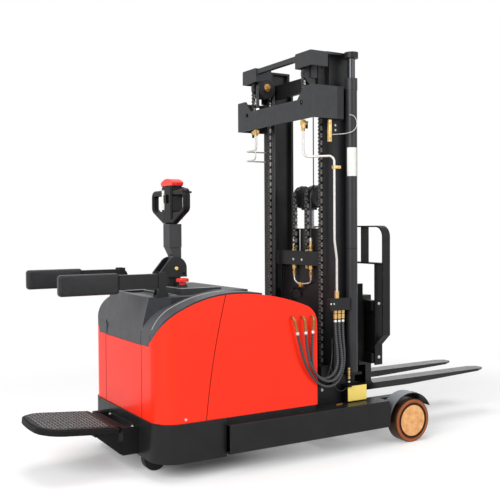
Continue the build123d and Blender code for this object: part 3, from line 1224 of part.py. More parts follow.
def chain_wrap(x, y, z, pitch_r):
    """The half turn of chain that lies in the groove over the top of a sheave."""
    outer = CenterArc((x, z), pitch_r + CHAIN_D / 2, 0, 180)
    inner = CenterArc((x, z), pitch_r - CHAIN_D / 2 + SEAT, 0, 180)
    band = make_face(Curve() + [outer, inner, Line(outer @ 0, inner @ 0), Line(outer @ 1, inner @ 1)])
    return prism_xz(band, y - CHAIN_HALF_W, y + CHAIN_HALF_W)


def inner_mast():
    rail = stage_rail(2, INNER_Z0, INNER_Z1)
    web = stage_web_y(2)
    tip = web - STAGE_STEP + STAGE_GAP
    rear = MAST_X - stage_depth(2) / 2
    mast = rail
    rollers = []
    for z in (INNER_Z0 + ROLLER_LOW, INNER_Z0 + ROLLER_LOW + ROLLER_PITCH):
        pin, roller = stage_roller(1, z, web)
        mast += pin
        rollers += both(roller)
    hook_x = SHEAVE_X + SHEAVE_PITCH_R
    hook = block((hook_x - CHAIN_D, rear + FLANGE_T), (SLIDE - web, CHAIN_W - SHEAVE_Y), (HOOK_Z0, HOOK_Z1))
    mast += hook
    across = (-tip, tip)
    bar = block((rear + SLIDE, rear + SLIDE + BAR_T), across, (BAR_Z0, BAR_Z0 + BAR_H))
    boss = block((rear + SLIDE, rear + SLIDE + BAR_T + BAR_BOSS), (-FREE_SHEAVE_Y - CHAIN_W, CHAIN_W - FREE_SHEAVE_Y),
                 (BAR_Z0, BAR_Z0 + BAR_H))
    head = block((rear + SLIDE, rear + SLIDE + INNER_TIE_T), across, (INNER_Z1 - INNER_HEAD_H, INNER_Z1))
    foot = block((rear + SLIDE, FREE_X + FREE_R), across, (INNER_Z0, INNER_FOOT_Z1))
    return both(mast) + [bar + both(boss), head, foot] + rollers


def free_lift_cylinder():
    barrel = rod_z(FREE_X, 0, FREE_R, INNER_FOOT_Z1, FREE_Z1)
    barrel -= rod_z(FREE_X, 0, FREE_R - FREE_WALL, INNER_FOOT_Z1 + FREE_WALL, FREE_Z1 - CYL_GLAND_H)
    return barrel - rod_z(FREE_X, 0, FREE_ROD_R + FIT, INNER_FOOT_Z1 + FREE_WALL, FREE_Z1 + 1)


def free_lift_rod():
    rod = rod_z(FREE_X, 0, FREE_ROD_R, FREE_ROD_Z0, YOKE_Z0)
    yoke = block((FREE_X - YOKE_D / 2, FREE_X + YOKE_D / 2), (-YOKE_HALF_W, YOKE_HALF_W),
                 (YOKE_Z0, FREE_SHEAVE_Z + YOKE_D / 2))
    yoke = fillet(yoke.edges().filter_by(Axis.Y).group_by(Axis.Z)[-1], YOKE_D / 3)
    far = FREE_SHEAVE_Y + FREE_SHEAVE_W
    return rod + yoke + rod_y(FREE_X, FREE_SHEAVE_Z, FREE_PIN_R, -far, far)


# Fork carriage
def lift_carriage():
    web = stage_web_y(2)
    tip = web - STAGE_STEP + STAGE_GAP
    plate_out = tip - SLIDE
    plate_in = plate_out - CARRIAGE_PLATE_T
    top_bar = TOP_BAR_Z0 + FORK_BAR_H
    outline = polygon([(CARRIAGE_X0, LOW_BAR_Z0 + FORK_BAR_H), (MAST_X + OUTER_DEPTH / 2, CARRIAGE_Z0), (BAR_X0, CARRIAGE_Z0),
                       (BAR_X0, top_bar), (MAST_X + OUTER_DEPTH / 2, CARRIAGE_Z1), (CARRIAGE_X0, CARRIAGE_Z1)])
    side = prism_xz(outline, -plate_out, -plate_in)
    notch_x = (BAR_X0 - HOOK_LIP - SLIDE, BAR_X0 + 1)
    for z in ((CARRIAGE_Z0 - 1, LOW_BAR_Z0 + HOOK_DROP + SLIDE), (top_bar - HOOK_DROP - SLIDE, CARRIAGE_Z1)):
        side -= block(notch_x, (-plate_out, -plate_in), z)
    side += block((BAR_X0 - 2 * FORK_BAR_T, BAR_X0 - HOOK_LIP - SLIDE), (-plate_out, -plate_in), (top_bar - HOOK_T, LUG_Z1))
    rollers = []
    for z in (CARRIAGE_Z0 + CARRIAGE_ROLLER_LOW, CARRIAGE_Z0 + CARRIAGE_ROLLER_LOW + CARRIAGE_ROLLER_PITCH):
        pin, roller = stage_roller(2, z, plate_out)
        side += pin
        rollers += both(roller)
    pieces = both(side)
    bar_y = (-FORK_BAR_HALF_L, FORK_BAR_HALF_L)
    for z in (LOW_BAR_Z0, TOP_BAR_Z0):
        pieces.append(block((BAR_X0, BAR_X0 + FORK_BAR_T), bar_y, (z, z + FORK_BAR_H)))
    shield_x = BAR_X0 - HOOK_LIP - 2 * SLIDE
    shield_rear = shield_x - COVER_T
    pieces.append(block((shield_rear, shield_x), (-plate_in, plate_in), (LOW_BAR_Z0 + FORK_BAR_H, TOP_BAR_Z0)))
    apron_x = BAR_X0 + FORK_BAR_T / 2
    pieces.append(block((apron_x, apron_x + COVER_T), bar_y, (LOW_BAR_Z0 + FORK_BAR_H, TOP_BAR_Z0)))
    chain_x = FREE_X + FREE_PITCH_R
    anchor = block((chain_x - CHAIN_D, shield_rear), (-FREE_SHEAVE_Y - CHAIN_W, CHAIN_W - FREE_SHEAVE_Y),
                   (LOW_BAR_Z0 + FORK_BAR_H, LOW_BAR_Z0 + 2 * FORK_BAR_H))
    return pieces + both(anchor) + rollers


def backrest():
    """Flat strip bent to an arch, narrowed below, with a middle bar and three uprights."""
    low_out = STRIP_LOW_Y + STRIP_T / 2
    high_out = STRIP_HIGH_Y + STRIP_T / 2
    outline = polygon([(-low_out, STRIP_Z0), (low_out, STRIP_Z0), (low_out, STRIP_JOG_Z0), (high_out, STRIP_JOG_Z1),
                       (high_out, STRIP_TOP_Z), (-high_out, STRIP_TOP_Z), (-high_out, STRIP_JOG_Z1), (-low_out, STRIP_JOG_Z0)])
    outline = fillet(outline.vertices().group_by(Axis.Y)[-1], STRIP_CORNER_R)
    strip = outline - offset(outline, -STRIP_T)
    x1 = STRIP_X0 + STRIP_D
    rest = prism_yz(strip, STRIP_X0, x1)
    rest -= block((STRIP_X0 - 1, x1 + 1), (STRIP_T - low_out, low_out - STRIP_T), (STRIP_Z0 - 1, STRIP_Z0 + 2 * STRIP_T))
    mid = (STRIP_MID_Z - STRIP_T / 2, STRIP_MID_Z + STRIP_T / 2)
    rest += block((STRIP_X0, x1), (STRIP_T - high_out, high_out - STRIP_T), mid)
    for y in (-STRIP_BAR_Y, 0, STRIP_BAR_Y):
        rest += block((STRIP_X0, x1), (y - STRIP_T / 2, y + STRIP_T / 2), (STRIP_MID_Z, STRIP_TOP_Z - STRIP_T / 2))
    lower = block((STRIP_X0, x1), (-low_out, STRIP_T - low_out), (STRIP_JOG_Z0 - STRIP_T, STRIP_MID_Z))
    rest += both(lower)
    return rest


def fork():
    """Right fork: hooks, shank and a blade that thins towards its narrowed tip."""
    rear = FORK_FACE_X - FORK_SHANK_T
    low = FORK_TOP_Z - FORK_T
    top_hook = TOP_BAR_Z0 + FORK_BAR_H + SEAT
    low_hook = LOW_BAR_Z0 - SEAT
    back = BAR_X0 - SEAT
    lip = back - HOOK_LIP
    side = polygon([
        (rear + SEAT, low), (FORK_TIP_X - FORK_TAPER_L, low), (FORK_TIP_X, FORK_TOP_Z - FORK_TIP_T), (FORK_TIP_X, FORK_TOP_Z),
        (FORK_FACE_X, FORK_TOP_Z), (FORK_FACE_X, top_hook + HOOK_T), (lip, top_hook + HOOK_T), (lip, top_hook - HOOK_DROP),
        (back, top_hook - HOOK_DROP), (back, top_hook), (rear + SEAT, top_hook), (rear + SEAT, low_hook),
        (back, low_hook), (back, low_hook + HOOK_DROP), (lip, low_hook + HOOK_DROP), (lip, low_hook - HOOK_T),
        (rear + SEAT, low_hook - HOOK_T)])
    inner = FORK_OUT_Y - FORK_W
    blade = prism_xz(side, -FORK_OUT_Y, -inner)
    heel = blade.edges().filter_by(Axis.Y).filter_by_position(Axis.X, FORK_FACE_X - 1, FORK_FACE_X + 1)
    blade = fillet(heel.sort_by(Axis.Z)[:1], HOOK_T)
    cut = polygon([(FORK_TIP_X - FORK_TIP_L, -FORK_OUT_Y - 1), (FORK_TIP_X + 1, -FORK_OUT_Y - 1),
                   (FORK_TIP_X + 1, FORK_TIP_CUT - FORK_OUT_Y), (FORK_TIP_X, FORK_TIP_CUT - FORK_OUT_Y)])
    corner = prism_xy(cut, 0, FORK_TOP_Z + 1)
    middle = Plane.XZ.offset(FORK_OUT_Y - FORK_W / 2)
    return blade - corner - mirror(corner, about=middle)


# Pipes, fittings and hoses
def tube(points, radii, radius):
    path = FilletPolyline(*points, radius=radii)
    section = Plane(origin=path @ 0, z_dir=path % 0) * Circle(radius)
    return sweep(section, path=path)


def mast_pipe():
    """Right pipe, from the beam down to the manifold, with a jog half way."""
    manifold_y = -MANIFOLD_Y0 - MANIFOLD_T / 2
    upper_x = PIPE_X1 - PIPE_JOG
    points = [(PIPE_X0, -PIPE_Y0, BEAM_Z0 - NUT_H), (PIPE_X0, -PIPE_Y0, PIPE_Z_TURN), (upper_x, manifold_y, PIPE_Z_TURN),
              (upper_x, manifold_y, PIPE_JOG_Z1), (PIPE_X1, manifold_y, PIPE_JOG_Z0),
              (PIPE_X1, manifold_y, MANIFOLD_Z0 + MANIFOLD_H + NUT_H)]
    return tube(points, [PIPE_BEND_R, PIPE_BEND_R, 2 * PIPE_BEND_R, 2 * PIPE_BEND_R], PIPE_R)


def far_pipes():
    """Two thin pipes from the left fitting, out and forward to the left outer rail."""
    rail_x = MAST_X - OUTER_DEPTH / 2
    out = OUTER_WEB_Y - FAR_PIPE_OUT
    pipes = []
    for side, drop in zip((-1, 1), FAR_PIPE_DROPS):
        y = FAR_PIPE_Y + side * FAR_PIPE_STEP
        z = BEAM_Z0 - drop
        points = [(PIPE_X0, y, BEAM_Z0 - NUT_H), (PIPE_X0, y, z), (PIPE_X0, out, z), (rail_x, out, z)]
        pipes.append(tube(points, [FAR_BEND_R, FAR_BEND_R], FAR_PIPE_R))
    return pipes


def mast_fittings():
    """Nuts at the ends of the pipes, and the hose fittings under the manifold."""
    manifold_y = -MANIFOLD_Y0 - MANIFOLD_T / 2
    top = MANIFOLD_Z0 + MANIFOLD_H
    pieces = [rod_z(PIPE_X0, y, NUT_R, BEAM_Z0 - NUT_H, BEAM_Z0) for y in (-PIPE_Y0, FAR_PIPE_Y)]
    pieces.append(rod_z(PIPE_X1, manifold_y, NUT_R, top, top + NUT_H))
    for i in range(3):
        x = HOSE_X0 + i * HOSE_STEP
        pieces.append(rod_z(x, manifold_y, FITTING_R, HOSE_TOP_Z, MANIFOLD_Z0))
    return pieces


def elbow_turn(i):
    """Corner of a bent fitting: the hose's first run carried on up to the fitting's height."""
    start, second = hose_points(i)[:2]
    run = (start - second).normalized()
    return start + run * ((ELBOW_Z - start.Z) / run.Z)


def hose_elbow(i):
    """A bent fitting that comes out of the right cover and turns down to its hose."""
    turn = elbow_turn(i)
    inlet = Vector(turn.X, COVER_T - BODY_HALF_W, ELBOW_Z)
    return tube([inlet, turn, hose_points(i)[0]], [ELBOW_BEND_R], ELBOW_R)


def hose(i):
    points = hose_points(i)
    radii = []
    for a, b, c in zip(points, points[1:], points[2:]):
        turn = (b - a).get_angle(c - b)
        shorter = min((b - a).length, (c - b).length)
        radii.append(0.45 * shorter / tan(radians(turn) / 2))
    body = tube(points, radii, HOSE_D / 2)
    path = FilletPolyline(*points, radius=radii)
    section = pi * HOSE_D ** 2 / 4
    print("hose", i + 1, "radii", [round(r) for r in radii], "length", round(path.length),
          "volume / (section x length)", round(body.volume / (section * path.length), 4))
    return body


def main():
    os.makedirs("parts", exist_ok=True)
    save("chassis_frame", chassis_frame(), both(load_axle()))
    save("rear_skirt", rear_skirt())
    panel, rear_covers, front_covers = covers()
    save("rear_panel", panel)
    save("rear_side_covers", rear_covers)
    save("front_side_covers", front_covers)
    save("battery_lid", battery_lid())
    save("dash_cover", dash_cover())
    save("console", console())
    save("emergency_stop", emergency_stop())
    save("battery", battery())
    save("power_pack", power_pack())
    save("drive_motor", drive_motor())
    save("drive_wheel", drive_wheel())
    save("steering_turret", steering_turret())
    save("tiller_arm", tiller_arm())
    save("tiller_head", tiller_head())
    save("belly_button", belly_button())
    save("throttle", throttle())
    save("lift_rocker", lift_rocker())
    for name, place in (("right", lambda s: s), ("left", mirrored)):
        save("caster_fork_" + name, place(caster_fork()))
        save("caster_wheel_" + name, place(caster_wheel()))
        save("load_wheel_" + name, place(load_wheel()))
        save("side_arm_" + name, place(side_arm()))
        save("arm_pad_" + name, place(arm_pad()))
        save("fork_" + name, place(fork()))
    save("platform_bracket", platform_bracket())
    save("platform", platform())
    save("platform_mat", platform_mat())
    save("arm_posts", both(arm_post()))
    save("outer_mast", outer_mast(), manifold())
    save("reach_carriage", reach_carriage())
    save("yellow_block", yellow_block())
    save("lift_cylinders", both(lift_cylinder()))
    save("lift_rods", both(lift_rod()))
    save("reach_cylinder", reach_ram())
    save("reach_rod", reach_rod())
    save("middle_mast", middle_mast(), both(chain_wrap(SHEAVE_X, -SHEAVE_Y, SHEAVE_Z, SHEAVE_PITCH_R)))
    save("mast_sheaves", both(sheave(SHEAVE_X, -SHEAVE_Y, SHEAVE_Z, SHEAVE_R, SHEAVE_PITCH_R, SHEAVE_W, SHEAVE_PIN_R)))
    save("inner_mast", inner_mast())
    save("free_lift_cylinder", free_lift_cylinder())
    save("free_lift_rod", free_lift_rod(), both(chain_wrap(FREE_X, -FREE_SHEAVE_Y, FREE_SHEAVE_Z, FREE_PITCH_R)))
    save("free_lift_sheaves", both(sheave(FREE_X, -FREE_SHEAVE_Y, FREE_SHEAVE_Z, FREE_SHEAVE_R, FREE_PITCH_R,
                                          FREE_SHEAVE_W, FREE_PIN_R)))
    save("lift_carriage", lift_carriage())
    save("backrest", backrest())
    shelf = BEAM_Z0 + ANCHOR_SHELF_UP + ANCHOR_SHELF_T
    save("main_chain_rear", both(chain_run(SHEAVE_X - SHEAVE_PITCH_R, -SHEAVE_Y, shelf, SHEAVE_Z)))
    save("main_chain_front", both(chain_run(SHEAVE_X + SHEAVE_PITCH_R, -SHEAVE_Y, HOOK_Z1, SHEAVE_Z)))
    save("free_chain_rear", both(chain_run(FREE_X - FREE_PITCH_R, -FREE_SHEAVE_Y, BAR_Z0 + BAR_H, FREE_SHEAVE_Z)))
    save("free_chain_front", both(chain_run(FREE_X + FREE_PITCH_R, -FREE_SHEAVE_Y, LOW_BAR_Z0 + 2 * FORK_BAR_H, FREE_SHEAVE_Z)))
    save("mast_pipes", mast_pipe(), far_pipes())
    save("mast_fittings", mast_fittings())
    save("hose_elbows", [hose_elbow(i) for i in range(len(HOSE_ROUTES))])
    for i in range(len(HOSE_ROUTES)):
        save("hose_" + str(i + 1), hose(i))


main()
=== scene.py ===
from math import copysign, cos, exp, hypot, pi, radians, sin, sqrt

import bmesh
import bpy
from mathutils import Matrix, Vector
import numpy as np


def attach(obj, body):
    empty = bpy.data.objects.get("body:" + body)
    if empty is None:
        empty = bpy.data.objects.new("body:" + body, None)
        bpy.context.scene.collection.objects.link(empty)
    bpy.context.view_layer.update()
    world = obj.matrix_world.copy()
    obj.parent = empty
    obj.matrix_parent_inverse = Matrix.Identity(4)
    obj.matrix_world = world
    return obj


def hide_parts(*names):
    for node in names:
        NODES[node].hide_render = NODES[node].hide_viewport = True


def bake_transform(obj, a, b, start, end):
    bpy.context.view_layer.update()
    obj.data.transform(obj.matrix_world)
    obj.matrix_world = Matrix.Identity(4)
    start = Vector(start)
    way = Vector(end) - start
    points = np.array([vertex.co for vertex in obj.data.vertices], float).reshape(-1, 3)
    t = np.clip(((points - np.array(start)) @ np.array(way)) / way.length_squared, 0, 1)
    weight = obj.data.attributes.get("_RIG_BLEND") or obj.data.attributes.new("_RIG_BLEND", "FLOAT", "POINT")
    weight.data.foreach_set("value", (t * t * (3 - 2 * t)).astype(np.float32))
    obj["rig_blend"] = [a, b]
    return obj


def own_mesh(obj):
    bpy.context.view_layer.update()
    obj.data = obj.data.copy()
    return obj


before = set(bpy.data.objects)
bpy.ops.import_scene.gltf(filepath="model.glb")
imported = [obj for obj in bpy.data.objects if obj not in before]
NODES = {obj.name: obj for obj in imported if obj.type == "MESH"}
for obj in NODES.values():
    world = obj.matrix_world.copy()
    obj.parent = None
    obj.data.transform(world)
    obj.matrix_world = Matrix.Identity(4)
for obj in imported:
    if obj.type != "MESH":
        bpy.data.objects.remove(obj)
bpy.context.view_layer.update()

# Dressing of the reach stacker. Sizes are millimetres in the CAD's frame; the scene is in metres.
MM = 0.001


def m(x, y, z):
    """A point given in millimetres."""
    return Vector((x, y, z)) * MM


def new_object(name, data):
    obj = bpy.data.objects.new(name, data)
    bpy.context.scene.collection.objects.link(obj)
    return obj


# Camera, from the photograph's perspective
CAM_AT = (-2349.7, -3630.7, 1146.7)
CAM_YAW = 1.0333
CAM_PITCH = 0.0288
CAM_ROLL = -0.006
CAM_LENS = 57.12
CAM_SENSOR = 36.0


def add_camera():
    data = bpy.data.cameras.new("camera")
    data.lens = CAM_LENS
    data.sensor_width = CAM_SENSOR
    level = cos(CAM_PITCH)
    ahead = Vector((cos(CAM_YAW) * level, sin(CAM_YAW) * level, -sin(CAM_PITCH)))
    right = Vector((sin(CAM_YAW), -cos(CAM_YAW), 0.0))
    up = right.cross(ahead)
    turned_right = right * cos(CAM_ROLL) + up * sin(CAM_ROLL)
    turned_up = up * cos(CAM_ROLL) - right * sin(CAM_ROLL)
    turn = Matrix((turned_right, turned_up, -ahead)).transposed()
    camera = new_object("camera", data)
    camera.matrix_world = Matrix.Translation(m(*CAM_AT)) @ turn.to_4x4()
    bpy.context.scene.camera = camera


add_camera()


# Materials
def linear(r, g, b):
    """Linear colour from screen values of 0 to 255."""
    out = []
    for v in (r, g, b):
        c = v / 255.0
        out.append(c / 12.92 if c <= 0.04045 else ((c + 0.055) / 1.055) ** 2.4)
    return out


def scaled(colour, k):
    return [min(1.0, c * k) for c in colour] + [1.0]


# Vertex value that marks where a mesh gets a painted highlight
BRIGHT = "bright"
# Places of the colour sockets on a mix node
MIX_A, MIX_B, MIX_OUT = 6, 7, 2


class Graph:
    """A node tree, built from empty."""

    def __init__(self, owner):
        owner.use_nodes = True
        self.tree = owner.node_tree
        self.tree.nodes.clear()

    def node(self, kind, inputs=None, **settings):
        """A node with its settings and inputs; an input is a socket or a constant."""
        made = self.tree.nodes.new(kind)
        for key, value in settings.items():
            setattr(made, key, value)
        for key, value in (inputs or {}).items():
            if isinstance(value, bpy.types.NodeSocket):
                self.link(value, made.inputs[key])
            else:
                made.inputs[key].default_value = value
        return made

    def link(self, source, target):
        self.tree.links.new(source, target)

    def span(self, source, low, high, out_low=0.0, out_high=1.0, kind="LINEAR"):
        """Stretches a value's range, by default to 0 and 1."""
        inputs = {"Value": source, "From Min": low, "From Max": high, "To Min": out_low, "To Max": out_high}
        return self.node("ShaderNodeMapRange", inputs, interpolation_type=kind).outputs["Result"]

    def maths(self, kind, *values):
        return self.node("ShaderNodeMath", dict(enumerate(values)), operation=kind).outputs["Value"]

    def vector(self, kind, *values):
        """Vector arithmetic; gives back the node's outputs."""
        return self.node("ShaderNodeVectorMath", dict(enumerate(values)), operation=kind).outputs

    def times(self, product, *factors):
        for factor in factors:
            product = self.maths("MULTIPLY", product, factor)
        return product


class Paint(Graph):
    """A principled surface with colour drift, grain, uneven gloss and softened, worn edges."""

    COAT_ROUGH = 0.12
    NOISE_RANGE = (0.3, 0.7)
    GLOSS_SWING, LEAST_ROUGH = 0.35, 0.03
    OVER_DRIFT = (30.0, 0.1)
    BEVEL_SAMPLES = 4
    RIM_RANGE = (0.995, 0.8)
    PATCH_SCALE, PATCH_RANGE = 38.0, (0.45, 0.62)

    def __init__(self, name, colour, rough, spec=0.2, metal=0.0, coat=0.0, sheen=0.0):
        self.mat = bpy.data.materials.new(name)
        super().__init__(self.mat)
        self.colour = linear(*colour)
        self.rough = rough
        self.bsdf = self.node("ShaderNodeBsdfPrincipled", {
            "Base Color": scaled(self.colour, 1), "Roughness": rough, "Metallic": metal,
            "Specular IOR Level": spec, "Coat Weight": coat, "Coat Roughness": self.COAT_ROUGH,
            "Sheen Weight": sheen})
        self.node("ShaderNodeOutputMaterial", {"Surface": self.bsdf.outputs["BSDF"]})
        self.coords = self.node("ShaderNodeTexCoord").outputs["Object"]
        self.shade = None
        self.normal = None

    def noise(self, scale, detail=3.0, stretch=None):
        source = self.coords
        if stretch:
            source = self.node("ShaderNodeMapping", {"Vector": source, "Scale": stretch}).outputs["Vector"]
        inputs = {"Vector": source, "Scale": scale, "Detail": detail}
        return self.node("ShaderNodeTexNoise", inputs).outputs["Fac"]

    def within(self, source, *edges):
        """1 where a length is past every edge; an edge runs from its 0 to its 1, in millimetres."""
        return self.times(*[self.span(source, low * MM, high * MM) for low, high in edges])

    def mix(self, factor, a, b):
        """Colour mix; a and b are colours or sockets."""
        inputs = {"Factor": factor, MIX_A: a, MIX_B: b}
        return self.node("ShaderNodeMix", inputs, data_type="RGBA").outputs[MIX_OUT]

    def use(self, shade):
        self.shade = shade
        self.link(shade, self.bsdf.inputs["Base Color"])
        return self

    def over(self, factor, colour):
        """Lays a second colour over the first where the factor is 1."""
        return self.use(self.mix(factor, self.shade, self.drifted(linear(*colour), *self.OVER_DRIFT)))

    def drifted(self, colour, scale, amount, stretch=None):
        """A colour that changes slowly over the surface."""
        fac = self.span(self.noise(scale, 4.0, stretch), *self.NOISE_RANGE)
        return self.mix(fac, scaled(colour, 1 - amount), scaled(colour, 1 + amount))

    def drift(self, scale, amount, stretch=None):
        """Slow change of colour and gloss over the surface."""
        self.use(self.drifted(self.colour, scale, amount, stretch))
        low = max(self.rough - self.GLOSS_SWING * amount, self.LEAST_ROUGH)
        high = min(self.rough + self.GLOSS_SWING * amount, 1.0)
        gloss = self.span(self.noise(scale * 2.3, 3.0, stretch), *self.NOISE_RANGE, low, high)
        self.link(gloss, self.bsdf.inputs["Roughness"])
        return self

    def face(self, normal):
        self.normal = normal
        self.link(normal, self.bsdf.inputs["Normal"])
        return self

    def edges(self, radius, colour, amount):
        """Rounds the look of sharp edges and lets a worn colour show along them."""
        bevel = self.node("ShaderNodeBevel", {"Radius": radius * MM}, samples=self.BEVEL_SAMPLES)
        self.face(bevel.outputs["Normal"])
        flat = self.node("ShaderNodeNewGeometry").outputs["Normal"]
        rim = self.span(self.vector("DOT_PRODUCT", self.normal, flat)["Value"], *self.RIM_RANGE)
        patch = self.span(self.noise(self.PATCH_SCALE, 4.0), *self.PATCH_RANGE)
        return self.over(self.times(rim, patch, amount), colour)

    def grain(self, scale, height, detail=2.0, strength=0.6, stretch=None):
        """Fine relief from noise; height in millimetres."""
        return self.relief(self.noise(scale, detail, stretch), height, strength)

    def relief(self, source, height, strength=0.6):
        """Relief from any value, laid over what relief there is."""
        inputs = {"Strength": strength, "Distance": height * MM, "Height": source}
        if self.normal:
            inputs["Normal"] = self.normal
        return self.face(self.node("ShaderNodeBump", inputs).outputs["Normal"])

    def radius_about_y(self, x, z):
        """Distance from a cross axis through (x, z), in metres."""
        away = self.vector("SUBTRACT", self.coords, m(x, 0, z))["Vector"]
        flat = self.vector("MULTIPLY", away, (1, 0, 1))["Vector"]
        return self.vector("LENGTH", flat)["Value"]

    def axis(self, name, source=None):
        return self.node("ShaderNodeSeparateXYZ", {"Vector": source or self.coords}).outputs[name]

    def bright(self):
        """1 on the parts of a mesh that were marked for a painted highlight, else 0."""
        return self.node("ShaderNodeAttribute", attribute_name=BRIGHT).outputs["Fac"]

    def facing(self, name):
        """One part of the surface's own direction."""
        return self.axis(name, self.node("ShaderNodeNewGeometry").outputs["True Normal"])


# Worn edges and grains that several finishes share
FRAME_WORN = (2.4, (115, 115, 117), 0.6)
PAINT_GRAIN = (700.0, 0.08, 2.0, 0.3)
RAIL_GRAIN = (700.0, 0.08, 2.0, 0.35)
METAL_GRAIN = (700.0, 0.03, 2.0, 0.3)
MOULDED_GRAIN = (1500.0, 0.12, 2.0, 0.5)
# name: colour, roughness, (specular, metal, coat, sheen), drift, worn edges, grain
FINISHES = {
    "cover_red": ((252, 46, 20), 0.34, (0.16, 0.0, 0.06), (6.0, 0.03), (2.0, (255, 110, 85), 0.5),
                  (900.0, 0.05, 1.0, 0.25)),
    "frame_black": ((28, 28, 29), 0.34, (0.17,), (9.0, 0.16), FRAME_WORN, PAINT_GRAIN),
    "deck_black": ((22, 22, 23), 0.6, (0.1,), (9.0, 0.16), (2.0, (100, 100, 102), 0.5),
                   (700.0, 0.1, 2.0, 0.4)),
    "cylinder_black": ((42, 43, 45), 0.34, (0.24,), (9.0, 0.14), (1.6, (110, 110, 112), 0.5), PAINT_GRAIN),
    "rail_black": ((23, 23, 24), 0.4, (0.17,), (9.0, 0.16), (1.4, (85, 85, 87), 0.45), RAIL_GRAIN),
    "fork_black": ((30, 30, 31), 0.2, (0.3,), (12.0, 0.2), (1.6, (130, 130, 130), 0.6),
                   (500.0, 0.04, 2.0, 0.2)),
    "console_grey": ((50, 52, 55), 0.46, (0.2,), (14.0, 0.1), (2.0, (130, 130, 132), 0.4), MOULDED_GRAIN),
    "black_plastic": ((17, 17, 19), 0.24, (0.1,), (20.0, 0.12), (1.5, (60, 60, 63), 0.1),
                      (1800.0, 0.05, 2.0, 0.25)),
    "red_plastic": ((246, 46, 40), 0.28, (0.3, 0.0, 0.15), (18.0, 0.05), (1.2, (255, 130, 120), 0.4),
                    (1200.0, 0.04, 1.0, 0.3)),
    "mat_rubber": ((34, 35, 36), 0.62, (0.2,), (24.0, 0.2), (1.0, (95, 95, 95), 0.35),
                   (900.0, 0.15, 3.0, 0.7)),
    # painted highlight: the mat's raised bars are the mat's rubber painted lighter
    "painted_tread_highlight": ((104, 104, 104), 0.46, (0.35,), (40.0, 0.2), (0.8, (190, 190, 190), 0.6),
                     (900.0, 0.12, 3.0, 0.5)),
    "caster_pu": ((24, 23, 23), 0.5, (0.2,), (20.0, 0.1), None, (300.0, 0.1)),
    "pipe_steel": ((202, 200, 196), 0.34, (0.4, 0.3), (70.0, 0.08), None, (500.0, 0.04, 2.0, 0.3)),
    "brass": ((204, 170, 108), 0.3, (0.4, 0.65), (90.0, 0.2), (0.6, (240, 215, 160), 0.5), METAL_GRAIN),
    "bronze": ((148, 106, 58), 0.36, (0.4, 0.6), (90.0, 0.2), (0.6, (215, 170, 110), 0.5), METAL_GRAIN),
    "yellow": ((254, 224, 118), 0.42, (0.2,), (16.0, 0.05), (1.5, (255, 238, 170), 0.6),
               (900.0, 0.06, 2.0, 0.3)),
    "battery": ((70, 72, 76), 0.5, (0.2,), (10.0, 0.15), (2.0, (120, 120, 120), 0.4), (500.0, 0.1)),
    "cast": ((70, 70, 72), 0.55, (0.3, 0.3), (30.0, 0.2), None, (260.0, 0.35, 4.0, 0.6)),
    "bolt_zinc": ((204, 204, 202), 0.3, (0.5, 0.6), (140.0, 0.12), (0.5, (255, 255, 255), 0.4),
                  (900.0, 0.02)),
    "pale_plate": ((224, 223, 218), 0.4, (0.2,), (40.0, 0.03), (0.6, (255, 255, 255), 0.3), (1500.0, 0.03)),
    "drain_tube": ((196, 194, 188), 0.3, (0.3,), (60.0, 0.06), None, (400.0, 0.05)),
    # painted highlight: pale beads along the hood's crease and round the tray and the console
    "highlight_bead_grey": ((158, 158, 160), 0.4, (0.25,), (20.0, 0.08), None, (1500.0, 0.1)),
    "seam_dark": ((84, 18, 10), 0.6, (0.1,), (40.0, 0.12), None, (500.0, 0.05)),
    "rod_steel": ((60, 61, 64), 0.2, (0.5, 0.7), (60.0, 0.08, (1, 1, 0.05)), None,
                  (800.0, 0.02, 1.0, 0.2, (1, 1, 0.03))),
    "mast_black": ((29, 29, 31), 0.4, (0.2,), (9.0, 0.14), (1.6, (105, 105, 107), 0.5), RAIL_GRAIN),
    "chassis_black": ((28, 28, 29), 0.34, (0.17,), (9.0, 0.16), FRAME_WORN, PAINT_GRAIN),
    "dash_grey": ((75, 75, 78), 0.46, (0.2,), (12.0, 0.08), (2.0, (150, 150, 152), 0.4), MOULDED_GRAIN),
    "pad_skin": ((33, 33, 35), 0.4, (0.2, 0.0, 0.0, 0.05), (26.0, 0.14), None, (160.0, 0.2, 3.0, 0.3)),
    "wheel_pu": ((154, 84, 42), 0.36, (0.2,), (22.0, 0.14), (1.5, (235, 160, 110), 0.4),
                 (260.0, 0.12, 3.0, 0.4)),
    "hose_rubber": ((22, 22, 24), 0.32, (0.4,), (60.0, 0.2), None, (900.0, 0.08)),
    "chain_steel": ((17, 17, 18), 0.34, (0.3, 0.3), (120.0, 0.3), (0.6, (190, 188, 184), 0.35),
                    (600.0, 0.05)),
    "free_rod_paint": ((170, 172, 176), 0.18, (0.2,), (60.0, 0.06, (1, 1, 0.05)), None, (700.0, 0.03)),
    "sheave_paint": ((36, 36, 38), 0.36, (0.3, 0.3), (40.0, 0.2), (1.2, (120, 120, 120), 0.5), (500.0, 0.05)),
}


# Where a finish changes over its piece, and where painted light and shade lie on it
BEAM_FOOT_Z, BEAM_FRONT_X = 1688.0, 114.0
FENDER_AT, FENDER_R = (521.0, 115.0), 150.0
PEBBLE_SCALE = 620.0
WHEEL_AT = (533.0, 115.0)
HUB_R, GROOVE_R, TREAD_R = 84.0, 96.0, 109.0
HUB_PATCHES = (34.0, 6.0)
YOKE_Z = 1240.0
SHEAVE_AT, SHEAVE_HUB_R = (45.0, 1935.0), 19.0


def painted_beam_light(mast):
    """The crossbeam and the caps, above and behind the rails, are painted a lighter black, a painted
    highlight for the light that falls on them.
    """
    above = mast.within(mast.axis("Z"), (BEAM_FOOT_Z, BEAM_FOOT_Z + 1))
    behind = mast.within(mast.axis("X"), (BEAM_FRONT_X, BEAM_FRONT_X - 1))
    mast.over(mast.times(above, behind), (51, 52, 54))


